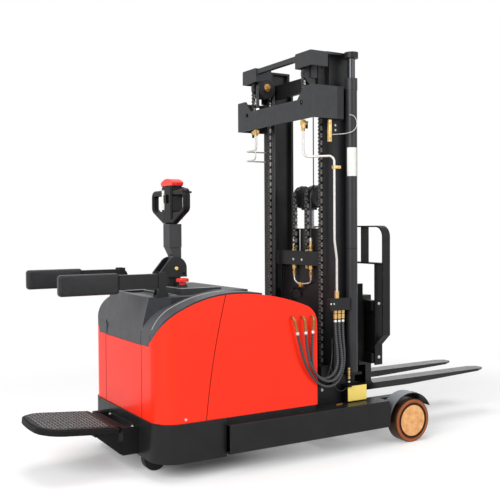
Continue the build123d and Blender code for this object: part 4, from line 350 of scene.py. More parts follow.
def painted_fender_highlight(steel):
    """Painted highlight: the up-facing tops of the wheel fenders are painted paler."""
    skin = steel.within(steel.radius_about_y(*FENDER_AT), (FENDER_R - 2.5, FENDER_R - 1.5),
                        (FENDER_R + 1.5, FENDER_R + 0.5))
    top = steel.span(steel.facing("Z"), 0.15, 1.0)
    steel.over(steel.times(skin, top), (138, 143, 147))


def dark_sides(dash):
    """The hood is darker on its steep sides."""
    dash.over(dash.span(dash.maths("ABSOLUTE", dash.facing("Y")), 0.55, 0.75), (40, 42, 46))


def pebbled(skin):
    """Integral-skin foam with a fine leather pebble."""
    cells = skin.node("ShaderNodeTexVoronoi", {"Vector": skin.coords, "Scale": PEBBLE_SCALE}, feature="F1")
    skin.relief(cells.outputs["Distance"], 0.35, 0.5)


def hub_and_painted_tread_shade(tyre):
    """A peach hub, a dark groove and a tread painted dark as painted shade, told apart by the distance from
    the axle.
    """
    radius = tyre.radius_about_y(*WHEEL_AT)
    patches = tyre.span(tyre.noise(*HUB_PATCHES), *tyre.NOISE_RANGE)
    hub_tone = tyre.mix(patches, scaled(linear(214, 146, 88), 1), scaled(linear(238, 188, 128), 1))
    tyre.use(tyre.mix(tyre.within(radius, (HUB_R - 2, HUB_R - 3.5)), tyre.shade, hub_tone))
    tyre.over(tyre.within(radius, (HUB_R - 2.5, HUB_R - 1), (GROOVE_R + 0.5, GROOVE_R - 1)), (62, 30, 16))
    tyre.over(tyre.within(radius, (TREAD_R, TREAD_R + 4)), (60, 38, 24))
    tyre.bsdf.inputs["Subsurface Weight"].default_value = 0.08
    tyre.bsdf.inputs["Subsurface Radius"].default_value = (0.006, 0.002, 0.001)


def painted_ridge_highlights(hose):
    """Painted highlight: the spiral guard's ridges are painted paler."""
    hose.over(hose.span(hose.bright(), 0.55, 0.95), (92, 93, 97))


def painted_link_highlights(links):
    """Painted highlight: oiled links are painted bright round the pins and stay dark at their waists."""
    links.over(links.span(links.bright(), 0.45, 0.85), (150, 148, 144))


def black_above_yoke(rod):
    """Chrome below the yoke, black above it."""
    above = rod.within(rod.axis("Z"), (YOKE_Z - 1, YOKE_Z))
    rod.over(above, (34, 34, 35))
    rod.link(rod.span(above, 0, 1, 0.95, 0.0), rod.bsdf.inputs["Metallic"])


def bronze_bush(wheel):
    """A bronze bush round the sheave's pin."""
    bush = wheel.within(wheel.radius_about_y(*SHEAVE_AT), (SHEAVE_HUB_R + 1, SHEAVE_HUB_R))
    wheel.over(bush, (176, 136, 70))


OVERLAYS = {"mast_black": painted_beam_light, "chassis_black": painted_fender_highlight, "dash_grey": dark_sides,
            "pad_skin": pebbled, "wheel_pu": hub_and_painted_tread_shade, "hose_rubber": painted_ridge_highlights,
            "chain_steel": painted_link_highlights, "free_rod_paint": black_above_yoke, "sheave_paint": bronze_bush}


def make_materials():
    mats = {}
    for name, (colour, rough, gloss, drift, worn, grain) in FINISHES.items():
        paint = Paint(name, colour, rough, *gloss).drift(*drift)
        if name in OVERLAYS:
            OVERLAYS[name](paint)
        if worn:
            paint.edges(*worn)
        mats[name] = paint.grain(*grain).mat
    return mats


MATS = make_materials()
NODE_FINISH = {
    "cover_red": ["rear_panel", "rear_side_covers", "front_side_covers", "battery_lid"],
    "dash_grey": ["dash_cover"],
    "console_grey": ["console"],
    "chassis_black": ["chassis_frame"],
    "frame_black": ["rear_skirt", "arm_posts", "side_arm_left", "side_arm_right", "steering_turret",
                    "caster_fork_left", "caster_fork_right", "backrest"],
    "deck_black": ["platform", "platform_bracket"],
    "mast_black": ["outer_mast", "middle_mast"],
    "cylinder_black": ["lift_cylinders", "tiller_arm"],
    "rail_black": ["inner_mast", "reach_carriage", "lift_carriage", "free_lift_cylinder", "reach_cylinder"],
    "fork_black": ["fork_left", "fork_right"],
    "black_plastic": ["tiller_head", "throttle", "lift_rocker"],
    "red_plastic": ["belly_button", "emergency_stop"],
    "mat_rubber": ["platform_mat"],
    "pad_skin": ["arm_pad_left", "arm_pad_right"],
    "wheel_pu": ["load_wheel_left", "load_wheel_right"],
    "caster_pu": ["caster_wheel_left", "caster_wheel_right", "drive_wheel"],
    "rod_steel": ["lift_rods", "reach_rod"],
    "free_rod_paint": ["free_lift_rod"],
    "sheave_paint": ["mast_sheaves", "free_lift_sheaves"],
    "chain_steel": ["main_chain_rear", "main_chain_front", "free_chain_rear", "free_chain_front"],
    "pipe_steel": ["mast_pipes"],
    "brass": ["mast_fittings"],
    "bronze": ["hose_elbows"],
    "yellow": ["yellow_block"],
    "hose_rubber": ["hose_1", "hose_2", "hose_3"],
    "battery": ["battery", "power_pack"],
    "cast": ["drive_motor"],
}


def dress_nodes():
    for finish, names in NODE_FINISH.items():
        for name in names:
            mesh = NODES[name].data
            mesh.materials.clear()
            mesh.materials.append(MATS[finish])


dress_nodes()


# Mesh helpers: each piece is one bmesh in millimetres. Near and far are the truck's right and left.
UP, FRONT, BACK = (0, 0, 1), (1, 0, 0), (-1, 0, 0)
NEAR, FAR = (0, -1, 0), (0, 1, 0)


def meshes(count):
    return [bmesh.new() for _ in range(count)]


def frame_of(axis):
    """Two directions square to an axis."""
    axis = Vector(axis).normalized()
    helper = Vector(UP if abs(axis.z) < 0.9 else FRONT)
    u = axis.cross(helper).normalized()
    return axis, u, axis.cross(u)


def rings(bm, loops):
    """Skins successive loops of points, caps the two ends and gives back the vertices."""
    made = [[bm.verts.new(p) for p in loop] for loop in loops]
    n = len(made[0])
    for a, b in zip(made, made[1:]):
        for i in range(n):
            bm.faces.new((a[i], a[(i + 1) % n], b[(i + 1) % n], b[i]))
    bm.faces.new(made[0][::-1])
    bm.faces.new(made[-1])
    return made


def bright_layer(bm):
    """The mark's layer; it is asked for before the vertices are made."""
    layers = bm.verts.layers.float
    return layers.get(BRIGHT) or layers.new(BRIGHT)


def brighten(bm, loops):
    layer = bright_layer(bm)
    for loop in loops:
        for vert in loop:
            vert[layer] = 1.0


def lathe(bm, at, axis, profile, seg=24, phase=0.0):
    """Turns a profile of (radius, height) about an axis through a point."""
    axis, u, v = frame_of(axis)
    loops = []
    for radius, height in profile:
        ring = []
        for i in range(seg):
            a = 2 * pi * i / seg + phase
            ring.append(Vector(at) + axis * height + (u * cos(a) + v * sin(a)) * radius)
        loops.append(ring)
    return rings(bm, loops)


def chamfered(radius, height, c):
    """Profile of a rod with chamfered ends."""
    return [(radius - c, 0), (radius, c), (radius, height - c), (radius - c, height)]


def rod(bm, a, b, radius, chamfer=0.6, seg=20):
    along = Vector(b) - Vector(a)
    c = min(chamfer, radius * 0.4, along.length * 0.4)
    return lathe(bm, a, along, chamfered(radius, along.length, c), seg)


def hexagon(bm, at, axis, radius, height, phase=0.0):
    lathe(bm, at, axis, chamfered(radius, height, min(1.2, height * 0.2)), 6, phase)


def stack(bm, x, y, z, steps):
    """Hexagon nuts one above another: (radius, height) each."""
    for i, (radius, height) in enumerate(steps):
        hexagon(bm, (x, y, z), UP, radius, height, 0.3 * i)
        z += height


# Forms of a bolt and a screw, in shares of the radius
WASHER = ((1.5, 0), (1.55, 0.1), (1.45, 0.3), (0.5, 0.3))
SHANK = ((0.62, 0), (0.6, 0.15), (0.45, 0.3))
SCREW_SIDES = 18
SCREW_HEAD = ((0.92, 0), (1, 0.12), (1, 0.7), (0.86, 0.9), (0.5, 0.9), (0.46, 0.35))


def sized(form, size):
    return [(r * size, h * size) for r, h in form]


def bolt(bm, at, axis, radius):
    """Washer, hexagon head and the end of the shank."""
    axis = Vector(axis).normalized()
    at = Vector(at)
    lathe(bm, at, axis, sized(WASHER, radius))
    hexagon(bm, at + axis * radius * 0.3, axis, radius * 1.1, radius * 0.75, 0.3)
    lathe(bm, at + axis * radius * 1.05, axis, sized(SHANK, radius))


def socket_screw(bm, at, axis, radius):
    """Round head with a sunk socket."""
    lathe(bm, at, axis, sized(SCREW_HEAD, radius), SCREW_SIDES)


# Rounding of a block's edges: steps, form, and the most of the thickness that it may take
BEVEL_STEPS, BEVEL_FORM, BEVEL_LIMIT = 2, 0.7, 0.45


def box(bm, lo, hi, bevel=1.0):
    """A block with rounded edges, made apart so that the order of its points is the same in each run."""
    lo, hi = Vector(lo), Vector(hi)
    block = bmesh.new()
    for v in bmesh.ops.create_cube(block, size=1.0)["verts"]:
        v.co = Vector((lo[k] + (v.co[k] + 0.5) * (hi[k] - lo[k]) for k in range(3)))
    bmesh.ops.bevel(block, geom=block.edges[:], offset=min(bevel, min(hi - lo) * BEVEL_LIMIT),
                    segments=BEVEL_STEPS, affect="EDGES", profile=BEVEL_FORM)
    mesh = bpy.data.meshes.new("block")
    block.to_mesh(mesh)
    block.free()
    bm.from_mesh(mesh)
    bpy.data.meshes.remove(mesh)


def swept(bm, points, radius, seg=14, ridge=None):
    """A tube along points, its frame carried along; ridge is (depth, lead) of a spiral wrap, whose crests are
    marked for a painted highlight.
    """
    points = [Vector(p) for p in points]
    last = len(points) - 1
    tangents = [(points[min(i + 1, last)] - points[max(i - 1, 0)]).normalized() for i in range(last + 1)]
    u = frame_of(tangents[0])[1]
    layer = bright_layer(bm) if ridge else None
    loops = []
    marks = []
    run = 0.0
    for i, (p, t) in enumerate(zip(points, tangents)):
        run += (p - points[max(i - 1, 0)]).length
        u = (u - t * u.dot(t)).normalized()
        v = t.cross(u)
        ring = []
        for k in range(seg):
            a = 2 * pi * k / seg
            r = radius
            if ridge:
                sunk = 0.5 + 0.5 * cos(2 * pi * run / ridge[1] - a)
                r -= ridge[0] * sunk
                marks.append(1 - sunk)
            ring.append(p + (u * cos(a) + v * sin(a)) * r)
        loops.append(ring)
    made = rings(bm, loops)
    if ridge:
        for vert, mark in zip((v for loop in made for v in loop), marks):
            vert[layer] = mark


SMOOTH_DEG = 38.0


def mesh_object(name, bm, finish):
    """Turns a bmesh in millimetres into an object in metres."""
    bmesh.ops.recalc_face_normals(bm, faces=bm.faces)
    mesh = bpy.data.meshes.new(name)
    bm.to_mesh(mesh)
    bm.free()
    mesh.transform(Matrix.Scale(MM, 4))
    for face in mesh.polygons:
        face.use_smooth = True
    mesh.set_sharp_from_angle(angle=radians(SMOOTH_DEG))
    mesh.materials.append(MATS[finish])
    return new_object(name, mesh)


def labelled(obj, replaced):
    """Hides the nodes that a piece stands for."""
    if replaced:
        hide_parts(*replaced)
    return obj


def piece(name, bm, finish, body, *replaced):
    obj = mesh_object(name, bm, finish)
    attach(obj, body)
    return labelled(obj, replaced)


def stretched(name, bm, finish, low, high, z0, z1, *replaced):
    """A piece that follows one body at its foot and another at its head."""
    obj = mesh_object(name, bm, finish)
    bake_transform(obj, low, high, m(0, 0, z0), m(0, 0, z1))
    labelled(obj, replaced)


# Points of a line between two of its control points
LINE_STEPS = 14


def spline_points(name, points, resolution=LINE_STEPS):
    """Points along a smooth curve whose control points are the route, in millimetres."""
    data = bpy.data.curves.new(name + "_line", "CURVE")
    data.dimensions = "3D"
    data.resolution_u = resolution
    spline = data.splines.new("NURBS")
    spline.points.add(len(points) - 1)
    for point, p in zip(spline.points, points):
        point.co = (*p, 1.0)
    spline.order_u = 3
    spline.use_endpoint_u = True
    line = bpy.data.objects.new(name + "_line", data)
    mesh = bpy.data.meshes.new_from_object(line)
    found = [v.co.copy() for v in mesh.vertices]
    bpy.data.objects.remove(line)
    bpy.data.meshes.remove(mesh)
    bpy.data.curves.remove(data)
    return found


# Hoses from the cover's elbows to the manifold
HOSE_D = 14.6
HOSE_WRAP = (1.5, 11.0)
HOSE_STEPS, HOSE_SIDES = 60, 16
LEAD_SIDES = 12
HOSE_ROUTES = [
    [(-196, -459, 636), (-174, -458, 545), (-140, -457, 460), (-86, -454, 386), (-21, -448, 348),
     (54, -439, 352), (106, -427, 411), (130, -409, 498), (133, -390, 585), (133, -390, 672)],
    [(-147, -460, 636), (-140, -461, 545), (-118, -461, 466), (-73, -461, 404), (-4, -456, 372),
     (58, -447, 388), (95, -436, 440), (106, -414, 515), (109, -390, 600), (109, -390, 672)],
    [(-98, -452, 636), (-103, -447, 545), (-97, -444, 447), (-64, -444, 403), (-12, -443, 386),
     (40, -436, 403), (73, -428, 447), (81, -410, 532), (85, -390, 610), (85, -390, 672)],
]
# Pressed sleeve on a hose end; each rib is a run of (depth, height)
CRIMP_R, CRIMP_L = 8.6, 13.0
CRIMP_RIBS, CRIMP_SIDES = 2, 22
CRIMP_RIB = ((0, 0.6), (0, 4.2), (0.7, 5.0))
# Thin lines beside them: name, diameter, finish, stiffness, route
LEADS = [
    ("sensor_lead", 5.0, "hose_rubber", "limp",
     [(98, -338, 420), (78, -372, 404), (66, -398, 372), (70, -402, 338), (86, -402, 314), (112, -402, 305),
      (140, -398, 310), (158, -388, 322), (170, -376, 327)]),
    ("drain_line", 4.0, "drain_tube", "limp",
     [(93, -352, 1617), (110, -374, 1617), (140, -400, 1619), (178, -411, 1628), (206, -412, 1650),
      (212, -412, 1682), (198, -411, 1708), (180, -406, 1717), (176, -394, 1718)]),
]
THIN_D = 6.0
THIN_ROUTE = [(-70, -428, 560), (-84, -429, 510), (-88, -428, 450), (-66, -424, 398), (-24, -416, 372),
              (14, -408, 378), (40, -403, 418), (54, -399, 462), (64, -392, 505), (74, -376, 545),
              (94, -354, 572), (119, -335, 580)]


def crimp(bm, end, inward):
    profile = [(CRIMP_R - 1.2, -1)]
    for i in range(CRIMP_RIBS):
        low = i * CRIMP_L / CRIMP_RIBS
        profile += [(CRIMP_R - depth, low + height) for depth, height in CRIMP_RIB]
    profile.append((CRIMP_R - 1.0, CRIMP_L))
    lathe(bm, end, inward, profile, CRIMP_SIDES)


def add_cord(name, route, diameter, finish, place, ridge=None, replaced=()):
    """A cord along a route; place is the body that it rides on, or a blend between two."""
    line = spline_points(name, route, HOSE_STEPS if ridge else LINE_STEPS)
    bm = bmesh.new()
    swept(bm, line, diameter / 2, HOSE_SIDES if ridge else LEAD_SIDES, ridge)
    obj = mesh_object(name, bm, finish)
    if len(place) > 1:
        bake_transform(obj, *place)
    else:
        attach(obj, *place)
    labelled(obj, replaced)
    return line


def across_reach(route):
    """Blend from the chassis to the mast along a route."""
    return "chassis", "mast", m(route[0][0], 0, 0), m(route[-1][0], 0, 0)


def add_hoses():
    cover_ends, mast_ends = meshes(2)
    for i, route in enumerate(HOSE_ROUTES, 1):
        line = add_cord("hose_line_%d" % i, route, HOSE_D, "hose_rubber", across_reach(route),
                        ridge=HOSE_WRAP, replaced=("hose_%d" % i,))
        crimp(cover_ends, line[0], line[1] - line[0])
        crimp(mast_ends, line[-1], line[-2] - line[-1])
    piece("cover_crimps", cover_ends, "bolt_zinc", "chassis")
    piece("manifold_crimps", mast_ends, "bolt_zinc", "mast")
    add_cord("thin_hose", THIN_ROUTE, THIN_D, "hose_rubber", across_reach(THIN_ROUTE))
    for name, diameter, finish, stiffness, route in LEADS:
        add_cord(name, route, diameter, finish, ("mast",))


add_hoses()


# Arm pads: moulded foam with a crowned face and a pressed border line
PAD_X0, PAD_X1 = -1308.0, -1030.0
PAD_Z0, PAD_Z1 = 847.5, 942.5
PAD_Y, PAD_T = 252.0, 50.0
PAD_R = 15.0
PAD_STEP = 3.0
PAD_CROWN = 2.2
PAD_BORDER = 14.0
PAD_GROOVE = 3.0
PAD_GROOVE_W = 2.4
# The border line starts at this share of the half thickness and is full after that much more
PAD_LINE_FROM, PAD_LINE_RUN = 0.6, 0.3


def border_distance(a, b, half_a, half_b, corner):
    """Signed distance from a rounded rectangle centred on zero."""
    qa = abs(a) - half_a + corner
    qb = abs(b) - half_b + corner
    return hypot(max(qa, 0), max(qb, 0)) + min(max(qa, qb), 0) - corner


def add_pad(name, y_mid, body, node):
    bm = bmesh.new()
    half = Vector(((PAD_X1 - PAD_X0) / 2, PAD_T / 2 - PAD_CROWN, (PAD_Z1 - PAD_Z0) / 2))
    mid = Vector(((PAD_X0 + PAD_X1) / 2, y_mid, (PAD_Z0 + PAD_Z1) / 2))
    counts = [max(2, int(2 * half[k] / PAD_STEP)) for k in range(3)]
    index = {}

    def vert(cell):
        if cell not in index:
            p = Vector((-half[k] + 2 * half[k] * cell[k] / counts[k] for k in range(3)))
            inner = Vector((max(-half[k] + PAD_R, min(half[k] - PAD_R, p[k])) for k in range(3)))
            away = p - inner
            if away.length > 1e-9:
                p = inner + away.normalized() * min(PAD_R, max(abs(c) for c in away))
            a, b = p.x / half.x, p.z / half.z
            swell = PAD_CROWN * max(0, 1 - a ** 4) * max(0, 1 - b ** 2)
            line = border_distance(p.x, p.z, half.x - PAD_BORDER, half.z - PAD_BORDER, PAD_R)
            face = max(0.0, min(1.0, (abs(p.y) - half.y * PAD_LINE_FROM) / (half.y * PAD_LINE_RUN)))
            sunk = PAD_GROOVE * exp(-(line / PAD_GROOVE_W) ** 2) * face
            if abs(p.y) > 1e-6:
                p.y += copysign(swell * min(1.0, abs(p.y) / half.y) - sunk, p.y)
            index[cell] = bm.verts.new(mid + p)
        return index[cell]

    for k in range(3):
        i, j = (k + 1) % 3, (k + 2) % 3
        for side in (0, counts[k]):
            for a in range(counts[i]):
                for b in range(counts[j]):
                    quad = []
                    for da, db in ((0, 0), (1, 0), (1, 1), (0, 1)):
                        cell = [0, 0, 0]
                        cell[k], cell[i], cell[j] = side, a + da, b + db
                        quad.append(vert(tuple(cell)))
                    bm.faces.new(quad)
    obj = piece(name, bm, "pad_skin", body, node)


add_pad("pad_right", -PAD_Y, "arm_right", "arm_pad_right")
add_pad("pad_left", PAD_Y, "arm_left", "arm_pad_left")


# Platform mat: raised bars in alternating directions, painted lighter than the mat as a painted highlight
HINGE_X, HINGE_Z = -975.0, 200.0
MAT_TOP = 24.0
MAT_TILT = radians(5.0)
MAT_X0, MAT_X1 = -1372.0, -1030.0
MAT_HALF_W = 190.0
MAT_TAIL_R, MAT_HEAD_R = 112.0, 10.0
TREAD_PITCH = 19.0
TREAD_L, TREAD_W, TREAD_H = 18.5, 5.6, 2.6
# A bar's levels: share of its size, height; its outline; and how far inside the mat it stays, by its length
TREAD_LEVELS = ((1.0, -0.4), (1.0, 0.3), (0.62, TREAD_H))
TREAD_INSIDE = 0.55
TREAD_FORM = ((-1, 0), (-0.7, -1), (0.7, -1), (1, 0), (0.7, 1), (-0.7, 1))


def on_platform(x, y, up):
    dx = x - HINGE_X
    dz = MAT_TOP + up
    return Vector((HINGE_X + dx * cos(MAT_TILT) + dz * sin(MAT_TILT), y,
                   HINGE_Z - dx * sin(MAT_TILT) + dz * cos(MAT_TILT)))


def add_tread():
    bm = bmesh.new()
    mid = (MAT_X0 + MAT_X1) / 2
    columns = int((MAT_X1 - MAT_X0) / TREAD_PITCH)
    rows = int(2 * MAT_HALF_W / TREAD_PITCH)
    for i in range(columns + 1):
        for j in range(rows + 1):
            x = MAT_X0 + (i + 0.5) * TREAD_PITCH
            y = -MAT_HALF_W + (j + 0.5) * TREAD_PITCH
            corner = MAT_TAIL_R if x < mid else MAT_HEAD_R
            outside = border_distance(x - mid, y, (MAT_X1 - MAT_X0) / 2, MAT_HALF_W, corner)
            if outside > -TREAD_L * TREAD_INSIDE:
                continue
            turn = radians(45 if (i + j) % 2 else -45)
            loops = []
            for size, up in TREAD_LEVELS:
                ring = []
                for a, b in TREAD_FORM:
                    px = a * TREAD_L / 2 * size
                    py = b * TREAD_W / 2 * size
                    ring.append(on_platform(x + px * cos(turn) - py * sin(turn),
                                            y + px * sin(turn) + py * cos(turn), up))
                loops.append(ring)
            rings(bm, loops)
    piece("mat_tread", bm, "painted_tread_highlight", "platform")


add_tread()


# Leaf chains: alternating plates on pins, along the CAD's chain lines
LINK_PITCH = 19.05
PLATE_R = 9.2
PLATE_T = 2.4
PIN_R = 3.6
CHAIN_HALF = 10.4
OUTER_ROWS = (-3, 0, 3)
INNER_ROWS = (-2, -1, 1, 2)
ROW_STEP = 2.9
PLATE_WAIST = 0.5
# The outline's points round the two pins, which get the painted highlight
PLATE_ENDS = (1, 2, 3, 7, 8, 9)
# The free-lift chains are broader than the mast's
FREE_CHAIN_SIZE = 1.15


def link_plate(bm, a, b, side, offset, radius):
    """A figure-of-eight plate between two pin centres; side is the pins' direction."""
    along = (b - a).normalized()
    across = along.cross(side).normalized()
    outline = []
    for centre, sense in ((b, 1), (a, -1)):
        for deg in (-80, -45, 0, 45, 80):
            t = radians(deg)
            outline.append(centre + (along * cos(t) + across * sin(t)) * sense * radius)
        outline.append((a + b) / 2 + across * (sense * radius * PLATE_WAIST))
    made = rings(bm, [[p + side * (offset + half) for p in outline] for half in (-PLATE_T / 2, PLATE_T / 2)])
    brighten(bm, [[loop[i] for i in PLATE_ENDS] for loop in made])


def chain(bm, centres, size):
    bright_layer(bm)
    side = Vector((0, 1, 0))
    for i, (a, b) in enumerate(zip(centres, centres[1:])):
        for row in OUTER_ROWS if i % 2 else INNER_ROWS:
            link_plate(bm, a, b, side, row * ROW_STEP * size, PLATE_R * size)
    half = side * CHAIN_HALF * size
    for p in centres:
        brighten(bm, rod(bm, p - half, p + half, PIN_R, 0.5, 10))


def straight(x, y, z0, z1):
    n = max(2, round((z1 - z0) / LINK_PITCH))
    return [Vector((x, y, z0 + (z1 - z0) * i / n)) for i in range(n + 1)]


def over_sheave(x, y, z, radius, pitch=LINK_PITCH):
    n = max(4, round(pi * radius / pitch))
    turns = [pi * i / n for i in range(n + 1)]
    return [Vector((x + radius * cos(t), y, z + radius * sin(t))) for t in turns]


SHEAVE_Y, SHEAVE_R = 249.0, 52.0
FREE_X, FREE_Y, FREE_Z, FREE_R = 200.0, 58.0, 1310.0, 56.0
BAR_REAR_X, BAR_LOW, BAR_HIGH = 121.0, 937.0, 1014.0
CARRIAGE_ANCHOR_Z = 514.0
# The sheave rises half as far as the carriage, so it lies midway along the blend. The blend starts
# below the anchor, so that the links under the sheave are not crushed.
CARRIAGE_BLEND = (CARRIAGE_ANCHOR_Z - 250.0, 2 * FREE_Z - CARRIAGE_ANCHOR_Z + 250.0)
CHAIN_SINK = 12.0
CHAIN_RUNS = [
    ("main_chain_rear", SHEAVE_AT[0] - SHEAVE_R, SHEAVE_Y, (1754.0, SHEAVE_AT[1]), (1754.0, SHEAVE_AT[1]),
     "mast", "middle"),
    ("main_chain_front", SHEAVE_AT[0] + SHEAVE_R, SHEAVE_Y, (200.0, SHEAVE_AT[1]), (200.0, SHEAVE_AT[1]),
     "inner", "middle"),
    ("free_chain_rear", FREE_X - FREE_R, FREE_Y, (BAR_HIGH, FREE_Z), (BAR_HIGH, FREE_Z), "inner", "free_rod"),
    ("free_chain_front", FREE_X + FREE_R, FREE_Y, (CARRIAGE_ANCHOR_Z - CHAIN_SINK, FREE_Z), CARRIAGE_BLEND,
     "carriage", "inner"),
]


def add_chains():
    for node, x, y, (z0, z1), blend, low, high in CHAIN_RUNS:
        bm = bmesh.new()
        size = FREE_CHAIN_SIZE if node.startswith("free") else 1.0
        for side in (-1, 1):
            chain(bm, straight(x, side * y, z0 + PLATE_R, z1), size)
        stretched(node.replace("chain", "links"), bm, "chain_steel", low, high, *blend, node)
    wraps = (("mast_wrap_links", SHEAVE_AT, SHEAVE_Y, SHEAVE_R, "middle", 1.0),
             ("free_wrap_links", (FREE_X, FREE_Z), FREE_Y, FREE_R, "free_rod", FREE_CHAIN_SIZE))
    for name, (x, z), y, radius, body, size in wraps:
        bm = bmesh.new()
        for side in (-1, 1):
            chain(bm, over_sheave(x, side * y, z, radius), size)
        piece(name, bm, "chain_steel", body)


add_chains()


# Hose pulleys: a double one under the mast's cap and a single one beside the free-lift sheave
PULLEY_X, PULLEY_Z, PULLEY_R = SHEAVE_AT[0], 1926.0, 54.0
PULLEY_ROWS = (196.0, 211.0)
PULLEY_EDGE, PULLEY_SIDES = 10.0, 48
PULLEY_HUB = ((8, -7), (13, -7), (16, -4), (16, 1))
PULLEY_NUT = ((9, 0), (9, 3), (6, 5))
PULLEY_HOSE_D = 11.0
GROOVE_DEPTH, GROOVE_HALF = PULLEY_HOSE_D * 0.45, PULLEY_HOSE_D * 0.6
GROOVE_STEPS = (-1, -0.7, -0.3, 0.3, 0.7, 1)
HOSE_SINK = PULLEY_HOSE_D * 0.1
WRAP_PITCH = 6.0
BEAM_HOSE_Z, INNER_HOSE_Z = 1806.0, 150.0
BEAM_NUTS = ((7.4, 12), (8.2, 10), (6.6, 14))
INNER_NUTS = ((7.4, 10), (8.2, 10), (6.6, 12))
# Ledges that carry the hose ends: piece, finish, body, hose end, blocks of x0, x1, side, z0, z1
LEDGES = (
    ("beam_ledge", "mast_black", "mast", BEAM_HOSE_Z, ((-29, 8, 11, -34, -26), (-29, -23, 11, -60, -30))),
    ("inner_ledge", "rail_black", "inner", INNER_HOSE_Z, ((86, 125, 9, -32, -22), (118, 130, 4, -46, -26))),
)
SIDE_PULLEY_Y, SIDE_PULLEY_R, SIDE_PULLEY_HALF = -97.0, 58.0, 9
SIDE_CAP = ((18, 0), (18, 4), (12, 6), (12, 9), (9, 10))
SIDE_HOSE_Z = BAR_HIGH + 60
SIDE_FOOT_X, SIDE_FOOT_Y = (244, 282), -70
SIDE_NUTS = ((8.2, 10), (7.2, 14))


def pulley(bm, x, z, y0, grooves, y1, radius):
    """A wheel with round grooves, turned about a cross axis."""
    bore = radius * 0.42
    profile = [(bore, y0 - 2), (bore, y0), (radius * 0.8, y0 + 1), (radius * 0.86, y0), (radius - 1, y0),
               (radius, y0 + 1)]
    for y in grooves:
        for step in GROOVE_STEPS:
            profile.append((radius - GROOVE_DEPTH * sqrt(1 - step * step), y + step * GROOVE_HALF))
    profile += [(radius, y1 - 1), (radius - 1, y1), (bore, y1)]
    lathe(bm, (x, 0, z), FAR, profile, PULLEY_SIDES)


def hoses_over(x, z, reach, rows, rear_z, front_z):
    """Hoses up to a pulley, over it and down in front of it, as three meshes."""
    runs = meshes(3)
    for y in rows:
        lines = (straight(x - reach, y, rear_z, z), over_sheave(x, y, z, reach, WRAP_PITCH),
                 straight(x + reach, y, front_z, z))
        for bm, line in zip(runs, lines):
            swept(bm, line, PULLEY_HOSE_D / 2)
    return runs


def add_mast_pulley():
    wheel, hub, nuts, feet = meshes(4)
    y0, y1 = PULLEY_ROWS[0] - PULLEY_EDGE, PULLEY_ROWS[1] + PULLEY_EDGE
    pulley(wheel, PULLEY_X, PULLEY_Z, y0, PULLEY_ROWS, y1, PULLEY_R)
    piece("hose_pulley", wheel, "sheave_paint", "middle")
    lathe(hub, (PULLEY_X, y0, PULLEY_Z), FAR, PULLEY_HUB)
    lathe(hub, (PULLEY_X, y0 - 7, PULLEY_Z), NEAR, PULLEY_NUT, 6)
    piece("hose_pulley_hub", hub, "bronze", "middle")
    reach = PULLEY_R - HOSE_SINK
    rear, wraps, front = hoses_over(PULLEY_X, PULLEY_Z, reach, PULLEY_ROWS, BEAM_HOSE_Z, INNER_HOSE_Z)
    for y in PULLEY_ROWS:
        stack(nuts, PULLEY_X - reach, y, BEAM_HOSE_Z - 26, BEAM_NUTS)
        stack(feet, PULLEY_X + reach, y, INNER_HOSE_Z - 22, INNER_NUTS)
    stretched("pulley_hoses_rear", rear, "hose_rubber", "mast", "middle", BEAM_HOSE_Z, PULLEY_Z)
    stretched("pulley_hoses_front", front, "hose_rubber", "inner", "middle", INNER_HOSE_Z, PULLEY_Z)
    piece("pulley_hose_wraps", wraps, "hose_rubber", "middle")
    piece("beam_nuts", nuts, "bolt_zinc", "mast")
    piece("inner_foot_nuts", feet, "brass", "inner")
    for name, finish, body, z, blocks in LEDGES:
        ledge = bmesh.new()
        for x0, x1, side, z0, z1 in blocks:
            box(ledge, (x0, PULLEY_ROWS[0] - side, z + z0), (x1, PULLEY_ROWS[1] + side, z + z1), 1.5)
        piece(name, ledge, finish, body)


def add_side_pulley():
    wheel, foot, nut = meshes(3)
    y, half = SIDE_PULLEY_Y, SIDE_PULLEY_HALF
    pulley(wheel, FREE_X, FREE_Z, y - half, (y,), y + half, SIDE_PULLEY_R)
    lathe(wheel, (FREE_X, y - half, FREE_Z), NEAR, SIDE_CAP)
    piece("side_pulley", wheel, "sheave_paint", "free_rod")
    reach = SIDE_PULLEY_R - HOSE_SINK
    foot_z = CARRIAGE_ANCHOR_Z - 14
    rear, wraps, front = hoses_over(FREE_X, FREE_Z, reach, (y,), SIDE_HOSE_Z, CARRIAGE_ANCHOR_Z - CHAIN_SINK)
    stretched("side_hose_rear", rear, "hose_rubber", "inner", "free_rod", SIDE_HOSE_Z, FREE_Z)
    stretched("side_hose_front", front, "hose_rubber", "carriage", "inner", *CARRIAGE_BLEND)
    piece("side_hose_wrap", wraps, "hose_rubber", "free_rod")
    box(foot, (SIDE_FOOT_X[0], y - 10, CARRIAGE_ANCHOR_Z - 48), (SIDE_FOOT_X[1], SIDE_FOOT_Y, foot_z), 2.0)
    piece("side_hose_foot", foot, "rail_black", "carriage")
    stack(nut, FREE_X + reach, y, foot_z, SIDE_NUTS)
    piece("side_hose_nut", nut, "brass", "carriage")


add_mast_pulley()
add_side_pulley()


# Fittings on the outer mast: under the crossbeam, on the rail, at the manifold and by the yellow block
PIPE_X, BEAM_LOW = -20.0, 1696.0
NEAR_TEE_Y, FAR_TEE_Y = -262.0, 205.0
TEE_HALF, FAR_TEE_HALF = 11, 17
VALVE_X, VALVE_Y, VALVE_HALF_W, VALVE_HALF_T = 81.0, -353.0, 10, 6
RAIL_FACE_Y = -338
BEAM_BOLT_X = 128
CLIP_X, CLIP_FACE_Y, CLIP_Z = 118, -399, 1448
MANIFOLD_BOLT_X, MANIFOLD_FACE_Y, MANIFOLD_BOLT_Z = (49, 68), -404, 755
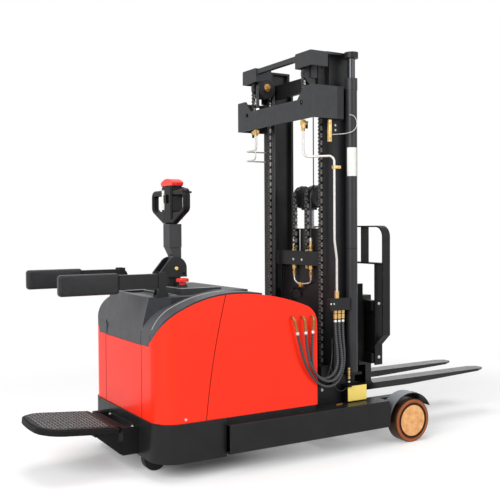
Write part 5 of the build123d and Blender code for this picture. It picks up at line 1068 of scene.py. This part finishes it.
# Rings on each manifold port: rise, height
PORT_RINGS = ((0, 6.0), (30, 3.5))
PORT_RING_R = 10.0
GAUGE_AT = (160.0, -405.0)
GAUGE_RING = ((5, 0), (7.0, 1), (7.0, 7), (5, 9))
GAUGE_NUTS = ((7.5, 14), (5.0, 5), (6.5, 8), (5.0, 4), (7.5, 13), (5.0, 6), (6.5, 8))
DARK_PLATE_X, DARK_PLATE_Y, DARK_PLATE_Z = (158, 290), (-391.5, -343), (241, 327)
DARK_PLATE_SCREWS = ((176, -352), (270, -352))
FOOT_BOLT = (34, -344, 310)
WEAR_X, WEAR_Y, WEAR_Z = (82, 120), (-404, -400.5), (229, 243)


def add_beam_fittings():
    brass, black, zinc, bronze = meshes(4)
    # tees on the two pipes, each with a capped port
    for y, wide in ((NEAR_TEE_Y, TEE_HALF), (FAR_TEE_Y, FAR_TEE_HALF)):
        box(brass, (PIPE_X - TEE_HALF, y - wide, BEAM_LOW - 30),
            (PIPE_X + TEE_HALF, y + wide, BEAM_LOW - 6), 2.0)
        hexagon(brass, (PIPE_X, y, BEAM_LOW - 7), UP, 12.5, 7)
    stack(brass, PIPE_X, NEAR_TEE_Y, BEAM_LOW - 58, ((9.6, 14), (11.8, 14)))
    hexagon(brass, (PIPE_X + TEE_HALF, NEAR_TEE_Y, BEAM_LOW - 18), FRONT, 9.5, 9)
    hexagon(brass, (PIPE_X, FAR_TEE_Y + FAR_TEE_HALF, BEAM_LOW - 18), FAR, 10.0, 22)
    for x, y in ((PIPE_X + 22, NEAR_TEE_Y), (PIPE_X, FAR_TEE_Y + 30)):
        rod(black, (x, y, BEAM_LOW - 12), (x, y, BEAM_LOW - 44), 6.5, 1.5)
        hexagon(brass, (x, y, BEAM_LOW - 14), UP, 8.0, 8)
    # upright valve behind the beam's right side plate
    box(brass, (VALVE_X - VALVE_HALF_W, VALVE_Y - VALVE_HALF_T, BEAM_LOW - 116),
        (VALVE_X + VALVE_HALF_W, VALVE_Y + VALVE_HALF_T, BEAM_LOW - 4), 1.2)
    for z in (BEAM_LOW - 22, BEAM_LOW - 100):
        socket_screw(brass, (VALVE_X, VALVE_Y - VALVE_HALF_T, z), NEAR, 5.0)
    rod(brass, (VALVE_X, VALVE_Y, BEAM_LOW - 60), (VALVE_X, RAIL_FACE_Y + 2, BEAM_LOW - 60), 5.0)
    for z in (BEAM_LOW - 28, BEAM_LOW - 53):
        bolt(zinc, (BEAM_BOLT_X, RAIL_FACE_Y, z), NEAR, 3.6)
    # pipe clip on the rail
    box(brass, (CLIP_X - 46, CLIP_FACE_Y, CLIP_Z - 8), (CLIP_X, CLIP_FACE_Y + 18, CLIP_Z + 8), 2.0)
    bolt(brass, (CLIP_X - 12, CLIP_FACE_Y, CLIP_Z), NEAR, 4.6)
    box(black, (CLIP_X - 22, CLIP_FACE_Y + 13, CLIP_Z - 7), (CLIP_X, RAIL_FACE_Y + 1, CLIP_Z + 7), 2.0)
    # manifold's bolts and the rings on its ports
    for x in MANIFOLD_BOLT_X:
        bolt(zinc, (x, MANIFOLD_FACE_Y, MANIFOLD_BOLT_Z), NEAR, 3.0)
    for route in HOSE_ROUTES:
        x, y, z = route[-1]
        for rise, height in PORT_RINGS:
            lathe(black, (x, y, z + rise), UP, chamfered(PORT_RING_R, height, 0.6))
    # gauge on its bracket beside the dark plates
    x, y = GAUGE_AT
    top = DARK_PLATE_Z[1]
    box(black, (x - 10, y - 10, top - 5), (x + 12, -385, top), 1.5)
    rod(black, (x, y, top - 1), (x, y, top + 41), 4.5)
    lathe(zinc, (x, y, top + 19), UP, GAUGE_RING)
    stack(brass, x, y, top + 37, GAUGE_NUTS)
    bolt(zinc, FOOT_BOLT, NEAR, 5.0)
    # dark plates over the yellow block's rear face and top
    box(black, (DARK_PLATE_X[0], DARK_PLATE_Y[0], DARK_PLATE_Z[0]), (DARK_PLATE_X[0] + 6, DARK_PLATE_Y[1], top - 4), 1.0)
    box(black, (DARK_PLATE_X[0], DARK_PLATE_Y[0], top - 5), (DARK_PLATE_X[1], DARK_PLATE_Y[1], top), 1.5)
    for x, y in DARK_PLATE_SCREWS:
        socket_screw(black, (x, y, top), UP, 4.0)
    # worn plate low on the carriage's cheek
    (x0, x1), (y0, y1), (z0, z1) = WEAR_X, WEAR_Y, WEAR_Z
    box(bronze, (x0, y0, z0), (x1, y1, z1), 1.0)
    for x in (x0 + 5, x1 - 5):
        socket_screw(bronze, (x, y0, (z0 + z1) / 2), NEAR, 2.6)
    piece("cheek_plate", bronze, "bronze", "mast")
    piece("mast_brass", brass, "brass", "mast")
    piece("mast_caps", black, "black_plastic", "mast")
    piece("mast_bolts", zinc, "bolt_zinc", "mast")


add_beam_fittings()


# Fittings and pipes on the anchor bar
LEFT_COLUMN_Y = 64.0
ANCHOR_X = FREE_X - FREE_R
COLUMN_X = FREE_X - SIDE_PULLEY_R
COLUMN_TOP = ((11.5, 10), (8.0, 14), (10.0, 12), (7.4, 18))
COLUMN_FOOT = ((7.0, 16), (9.5, 14), (7.5, 12), (11.5, 24))
BAR_BOLT_Y, BAR_BOLT_Z = 41, 966
STAY_AT = (150, 18)
RISER_AT, RISER_Z = (150, -112), (1345, 1880)
JOIN_AT = (144.0, 2.0, 828.0)
# Formed pipe that loops beside the free-lift cylinder: its two ends and the loop between them
LOOP_START, LOOP_END = (134, 10, 822), [(138, 12, 808), (154, 4, 800)]
LOOP_AT, LOOP_R = (126.0, 32.0, 775.0), 31.0
LOOP_LEAD = 0.4
# Shares of the loop's plane along x and y
LOOP_ALONG, LOOP_ACROSS = 0.86, 0.51
GUARD_X, GUARD_T = 157.0, 3.0
GUARD_HALF_W, GUARD_Z0, GUARD_Z1 = 200.0, 240.0, 1000.0
GUARD_LIP = 14
TONGUE_Y, TONGUE_TOP = (-165.0, 66.0), 1138.0
GUARD_SCREW_Y = 160
CHEEK_X, CHEEK_Y, CHEEK_Z = (62, 112), (272, 280), (1850, 1990)


def loop_route():
    route = [JOIN_AT, LOOP_START]
    x, y, z = LOOP_AT
    for k in range(13):
        t = radians(60 + 30 * k)
        route.append((x - LOOP_ALONG * LOOP_R * cos(t) + LOOP_LEAD * k,
                      y + LOOP_ACROSS * LOOP_R * cos(t), z + LOOP_R * sin(t)))
    return route + LOOP_END


def add_anchor_bar():
    brass, zinc, black = meshes(3)
    x, y, z = JOIN_AT
    for column in (LEFT_COLUMN_Y, SIDE_PULLEY_Y):
        side = copysign(1, column)
        stack(brass, COLUMN_X, column, BAR_HIGH, COLUMN_TOP)
        rod(zinc, (COLUMN_X, column, BAR_HIGH + 54), (COLUMN_X, column, BAR_HIGH + 72), 8.0)
        stack(brass, COLUMN_X, column, BAR_LOW - 66, COLUMN_FOOT)
        elbow = [(COLUMN_X, column, BAR_LOW - 62), (COLUMN_X, column, BAR_LOW - 84),
                 (COLUMN_X + 4, column - side * 16, BAR_LOW - 98), (x, y + side * 26, z + 4), JOIN_AT]
        swept(zinc, spline_points("elbow", elbow), 4.6)
        bolt(zinc, (BAR_REAR_X, side * BAR_BOLT_Y, BAR_BOLT_Z), BACK, 5.0)
    for side in (-1, 1):
        hexagon(brass, (ANCHOR_X, side * FREE_Y, BAR_HIGH), UP, 11.0, 9, side * 0.2)
        stack(brass, ANCHOR_X, side * FREE_Y, BAR_LOW - 18, ((8.0, 8), (11.0, 10)))
    swept(zinc, straight(*STAY_AT, BAR_HIGH - 4, BAR_HIGH + 118), 3.0)
    box(brass, (x - 10, y - 12, z - 14), (GUARD_X, y + 12, z + 12), 2.0)
    swept(black, spline_points("loop", loop_route()), 3.6)
    swept(black, straight(*RISER_AT, *RISER_Z), 3.0)
    piece("anchor_fittings", brass, "brass", "inner")
    piece("anchor_pipes", zinc, "bolt_zinc", "inner")
    piece("loop_pipe", black, "black_plastic", "inner")


def add_guards():
    """Folded sheet behind the free-lift cylinder and cheeks beside the mast's sheaves."""
    sheet, cheeks = meshes(2)
    front = GUARD_X + GUARD_T
    lip = GUARD_X - GUARD_LIP
    w = GUARD_HALF_W
    box(sheet, (GUARD_X, -w, GUARD_Z0), (front, w, GUARD_Z1))
    box(sheet, (GUARD_X, TONGUE_Y[0], GUARD_Z1 - 30), (front, TONGUE_Y[1], TONGUE_TOP))
    for y in (-w, w - GUARD_T):
        box(sheet, (lip, y, GUARD_Z0), (front, y + GUARD_T, BAR_LOW))
    box(sheet, (lip, -w, GUARD_Z0), (front, w, GUARD_Z0 + GUARD_T))
    for y in (-GUARD_SCREW_Y, GUARD_SCREW_Y):
        socket_screw(sheet, (GUARD_X, y, BAR_LOW - 18), BACK, 5.0)
    piece("mast_guard", sheet, "rail_black", "inner")
    (x0, x1), (z0, z1) = CHEEK_X, CHEEK_Z
    for side in (-1, 1):
        y0, y1 = sorted(side * y for y in CHEEK_Y)
        box(cheeks, (x0, y0, z0), (x1, y1, z1), 2.0)
        for z in (z0 + 20, z1 - 20):
            socket_screw(cheeks, ((x0 + x1) / 2, side * CHEEK_Y[1], z), (0, side, 0), 6.0)
    piece("sheave_cheeks", cheeks, "rail_black", "middle")


add_anchor_bar()
add_guards()


# Hood pieces: dark seams between the covers, pale beads as painted highlights along the arch's crease and
# round the tray and the console, and a dark line of painted shade at the dash's corner
BODY_REAR_X, BODY_SIDE_Y = -912.0, 434.0
SEAM_W, SEAM_PROUD = 4.0, 0.4
SIDE_SEAM = ((-575.0, 838.0), (-633.0, 589.0), (-681.0, 266.0))
PANEL_SEAM_Y, PANEL_FOOT_Z, PANEL_TOP_Z = 230.0, 266.0, 604.0
CROWN_X, CROWN_R, CROWN_DEG, SHOULDER_R = -527.5, 640.0, 26.3, 183.0
ARCH_TOP_Z, ARCH_LIFT = 836.0, 8.0
CREASE_Y, CREASE_R = 335.0, 2.4
CREASE_FAR_END = -800.0
CROWN_STEPS, SHOULDER_STEPS, SHOULDER_STEP_DEG = 24, 18, 2.2
TRAY_X, TRAY_HALF_W, TRAY_Z = (-852.0, -712.0), 204.0, 824.0
CONSOLE_X, CONSOLE_HALF_W, CONSOLE_TOP = (-700.0, -480.0), 215.0, 856.0
RIM_R, RIM_CORNER_R = 1.8, 10.0
TRIM_SIDES = 8
DASH_SHADE_LINE = [(-913.4, -229, 605), (-913.4, -229.5, 640), (-912.4, -230, 668)]
DASH_SHADE_LINE_R = 1.5
# Rear face of the dash's corners, as (y, z)
CORNER_FORM = ((214, 606), (312, 606), (324, 636), (327, 664), (214, 664))


def through(a, b, c, steps=24):
    """Points of a parabola through three points of a plane, evenly spaced in height."""
    out = []
    for i in range(steps + 1):
        z = a[1] + (c[1] - a[1]) * i / steps
        x = 0.0
        for p, q, r in ((a, b, c), (b, a, c), (c, a, b)):
            x += p[0] * (z - q[1]) * (z - r[1]) / ((p[1] - q[1]) * (p[1] - r[1]))
        out.append((x, z))
    return out


def crease_points():
    """The arch's line from its crown down to the rear shoulder."""
    out = []
    turn = radians(CROWN_DEG)
    crown, shoulder = CROWN_R + ARCH_LIFT, SHOULDER_R + ARCH_LIFT
    for i in range(CROWN_STEPS + 1):
        t = turn * i / CROWN_STEPS
        out.append((CROWN_X - crown * sin(t), ARCH_TOP_Z + ARCH_LIFT - crown * (1 - cos(t))))
    mid_x = CROWN_X - (CROWN_R - SHOULDER_R) * sin(turn)
    mid_z = ARCH_TOP_Z - CROWN_R + (CROWN_R - SHOULDER_R) * cos(turn)
    for i in range(1, SHOULDER_STEPS + 1):
        t = turn + radians(SHOULDER_STEP_DEG * i)
        out.append((mid_x - shoulder * sin(t), mid_z + shoulder * cos(t)))
    return out


def rim(bm, x0, x1, half, z, open_front=False):
    """A thin bead round a rectangle with rounded corners."""
    r = RIM_CORNER_R

    def corner(x, y, start):
        turns = [radians(deg) for deg in range(start, start + 91, 15)]
        return [(x + r * cos(t), y + r * sin(t), z) for t in turns]

    rear = corner(x0 + r, half - r, 90) + corner(x0 + r, r - half, 180)
    if open_front:
        points = [(x1, half, z)] + rear + [(x1, -half, z)]
    else:
        points = corner(x1 - r, half - r, 0) + rear + corner(x1 - r, r - half, 270)
        points.append(points[0])
    swept(bm, points, RIM_R, TRIM_SIDES)


def add_hood_trim():
    seams, highlight_beads, corners, shade_line = meshes(4)
    w = SEAM_W / 2
    for side in (-1, 1):
        outer = side * (BODY_SIDE_Y + SEAM_PROUD)
        inner = side * (BODY_SIDE_Y - 1)
        section = ((-w, inner), (-w, outer), (w, outer), (w, inner))
        rings(seams, [[Vector((x + dx, y, z)) for dx, y in section] for x, z in through(*SIDE_SEAM)])
        y = side * PANEL_SEAM_Y
        box(seams, (BODY_REAR_X - SEAM_PROUD, y - w, PANEL_FOOT_Z),
            (BODY_REAR_X + 1, y + w, PANEL_TOP_Z), 0.3)
    piece("cover_seams", seams, "seam_dark", "chassis")
    # pale beads painted as highlights: along the arch's crease and round the tray and the console
    line = crease_points()
    swept(highlight_beads, [(x, -CREASE_Y, z) for x, z in line], CREASE_R, TRIM_SIDES)
    swept(highlight_beads, [(x, CREASE_Y, z) for x, z in line if x > CREASE_FAR_END], CREASE_R, TRIM_SIDES)
    rim(highlight_beads, *TRAY_X, TRAY_HALF_W, TRAY_Z)
    rim(highlight_beads, *CONSOLE_X, CONSOLE_HALF_W, CONSOLE_TOP - 1, True)
    piece("hood_highlight_beads", highlight_beads, "highlight_bead_grey", "chassis")
    faces = (BODY_REAR_X - 1.4, BODY_REAR_X + 1)
    for side in (-1, 1):
        rings(corners, [[Vector((x, side * y, z)) for y, z in CORNER_FORM] for x in faces])
    piece("dash_corners", corners, "dash_grey", "chassis")
    # painted shade: a dark line along the dash's near rear corner, where the lit rear face turns into the
    # shaded flank
    swept(shade_line, DASH_SHADE_LINE, DASH_SHADE_LINE_R, TRIM_SIDES)
    piece("dash_shade_line", shade_line, "frame_black", "chassis")


add_hood_trim()


# Blank plates, bellows and the lift cylinder's joint rings
HEAD_PLATE = ((-674.4, 21, 1236), (-672.4, 48, 1334))
# Bellows between the tiller head and the red button; a fold is how far it stands out, from z0 to z1
BELLOWS_X, BELLOWS_HALF_W = (-667, -613), 65
BELLOWS_FOLDS = ((0, 1345, 1349), (-3, 1348.5, 1352), (0, 1351.5, 1355.5))
PLATE_TURN = radians(-120.6)
PLATE_HALF = radians(54.0)
PLATE_STEPS = 24
CYLINDER_AT, CYLINDER_R, CYLINDER_SIDES = (206.0, -371.0), 30.0, 40
# Sections as distance from the cylinder's skin and height
PLATE_FORM = ((-0.2, 1406), (0.7, 1407), (0.7, 1552), (-0.2, 1553))
JOINT_FORM = ((-0.4, -2), (0.6, -1.2), (0.6, 1.2), (-0.4, 2))
JOINT_Z = 1033


def add_plates():
    plate, folds, label, joints = meshes(4)
    box(plate, *HEAD_PLATE, 0.8)
    piece("head_plate", plate, "pale_plate", "tiller")
    for out, z0, z1 in BELLOWS_FOLDS:
        box(folds, (BELLOWS_X[0] - out, -BELLOWS_HALF_W - out, z0),
            (BELLOWS_X[1] + out, BELLOWS_HALF_W + out, z1), 1.5)
    boot = piece("button_bellows", folds, "black_plastic", "tiller")
    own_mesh(boot)
    x, y = CYLINDER_AT
    loops = []
    for k in range(PLATE_STEPS + 1):
        t = PLATE_TURN - PLATE_HALF + 2 * PLATE_HALF * k / PLATE_STEPS
        loops.append([Vector((x + (CYLINDER_R + out) * cos(t), y + (CYLINDER_R + out) * sin(t), z))
                      for out, z in PLATE_FORM])
    rings(label, loops)
    piece("cylinder_plate", label, "pale_plate", "mast")
    for side in (-1, 1):
        form = [(CYLINDER_R + out, z) for out, z in JOINT_FORM]
        lathe(joints, (x, side * -y, JOINT_Z), UP, form, CYLINDER_SIDES)
    piece("cylinder_joints", joints, "rail_black", "mast")


add_plates()


# Small fasteners
PIN_END = ((9.5, 0), (9.5, 2), (8.0, 3.2), (3.0, 3.2), (2.4, 2.2))


def pin_end(bm, at, axis, size):
    lathe(bm, at, axis, sized(PIN_END, size))


def both_sides(*points):
    """Each point on the right and on the left, with the way it faces."""
    return [((x, side * y, z), (0, side, 0)) for side in (-1, 1) for x, y, z in points]


# piece, finish, body, kind, size, places
FASTENERS = (
    ("platform_bolts", "bolt_zinc", "chassis", bolt, 4.4,
     (((-943, -190, 221.5), UP), ((-943, 98, 221.5), UP))),
    ("backrest_bolts", "bolt_zinc", "carriage", bolt, 6.0, both_sides((448, 298, 437), (448, 298, 728))),
    ("tiller_pin_ends", "brass", "drive_unit", pin_end, 1.0, both_sides((-640, 45, 943))),
    ("turret_screws", "black_plastic", "drive_unit", socket_screw, 6.0,
     both_sides((-600, 45, 918), (-715, 45, 914))),
    ("cover_screws", "bolt_zinc", "chassis", socket_screw, 6.0, both_sides((-787, 434, 282))),
)


def add_fasteners():
    for name, finish, body, kind, size, places in FASTENERS:
        bm = bmesh.new()
        for at, axis in places:
            kind(bm, at, axis, size)
        piece(name, bm, finish, body)


add_fasteners()


# Light and floor
def add_area(name, at, aim, power, size):
    data = bpy.data.lights.new(name, "AREA")
    data.energy = power
    data.shape = "DISK"
    data.size = size
    lamp = new_object(name, data)
    lamp.location = at
    lamp.rotation_euler = (Vector(aim) - Vector(at)).to_track_quat("-Z", "Y").to_euler()


WORLD_LIGHT = 0.38
FLOOR_HALF = 30.0
FLOOR_NEAR, FLOOR_FAR = 1.9, 2.9
FLOOR_TONE, FLOOR_GLOW = 0.82, 0.24
# What the floor gives back to rays that only carry light
PLAIN_TONE = 0.8
# Deep shade under the body: axis, where it starts and where it is full, in metres
SHADE_DEPTH = 0.78
SHADE_EDGES = (("X", -0.95, -0.65), ("X", -0.12, -0.5), ("Y", -0.42, -0.22), ("Y", 0.42, 0.22))
LAMPS = (("key", (-6.0, -3.2, 3.6), (-0.3, 0, 0.8), 400, 5.0),
         ("fill", (2.0, -6.0, 3.0), (0.2, 0, 0.9), 150, 5.5),
         ("top", (-0.5, 0.5, 6.0), (0, 0, 0.5), 130, 4.0))


def seen_by_lens(graph):
    """1 for camera, mirror and glass rays, 0 for rays that only carry light."""
    path = graph.node("ShaderNodeLightPath").outputs
    seen = path["Is Camera Ray"]
    for key in ("Is Glossy Ray", "Is Transmission Ray"):
        seen = graph.maths("MAXIMUM", seen, path[key])
    return seen


def add_world():
    world = bpy.data.worlds.new("studio")
    bpy.context.scene.world = world
    graph = Graph(world)
    strength = graph.span(seen_by_lens(graph), 0.0, 1.0, WORLD_LIGHT, 1.0)
    background = graph.node("ShaderNodeBackground", {"Color": (1, 1, 1, 1), "Strength": strength})
    graph.node("ShaderNodeOutputWorld", {"Surface": background.outputs["Background"]})


def floor_material():
    """Takes the object's shadow near it and runs out to plain white."""
    mat = bpy.data.materials.new("floor")
    graph = Graph(mat)

    def diffuse(tone):
        return graph.node("ShaderNodeBsdfDiffuse", {"Color": (tone, tone, tone, 1)}).outputs["BSDF"]

    def emission(strength):
        return graph.node("ShaderNodeEmission", {"Strength": strength}).outputs["Emission"]

    def mixed(factor, a, b):
        return graph.node("ShaderNodeMixShader", {0: factor, 1: a, 2: b}).outputs["Shader"]

    def eased(source, start, full):
        return graph.span(source, start, full, kind="SMOOTHSTEP")

    coords = graph.node("ShaderNodeTexCoord").outputs["Object"]
    place = graph.node("ShaderNodeSeparateXYZ", {"Vector": coords}).outputs
    lit = graph.node("ShaderNodeAddShader", {0: diffuse(FLOOR_TONE), 1: emission(FLOOR_GLOW)})
    shade = graph.times(SHADE_DEPTH, *[eased(place[axis], start, full) for axis, start, full in SHADE_EDGES])
    away = graph.vector("LENGTH", coords)["Value"]
    shaded = mixed(shade, lit.outputs["Shader"], emission(0.0))
    shown = mixed(eased(away, FLOOR_NEAR, FLOOR_FAR), shaded, emission(1.0))
    surface = mixed(seen_by_lens(graph), diffuse(PLAIN_TONE), shown)
    graph.node("ShaderNodeOutputMaterial", {"Surface": surface})
    return mat


def add_floor():
    mesh = bpy.data.meshes.new("floor")
    h = FLOOR_HALF
    mesh.from_pydata([(-h, -h, 0), (h, -h, 0), (h, h, 0), (-h, h, 0)], [], [(0, 1, 2, 3)])
    mesh.materials.append(floor_material())
    floor = new_object("floor", mesh)


add_world()
add_floor()
for lamp in LAMPS:
    add_area(*lamp)
bpy.context.scene.view_settings.view_transform = "Standard"
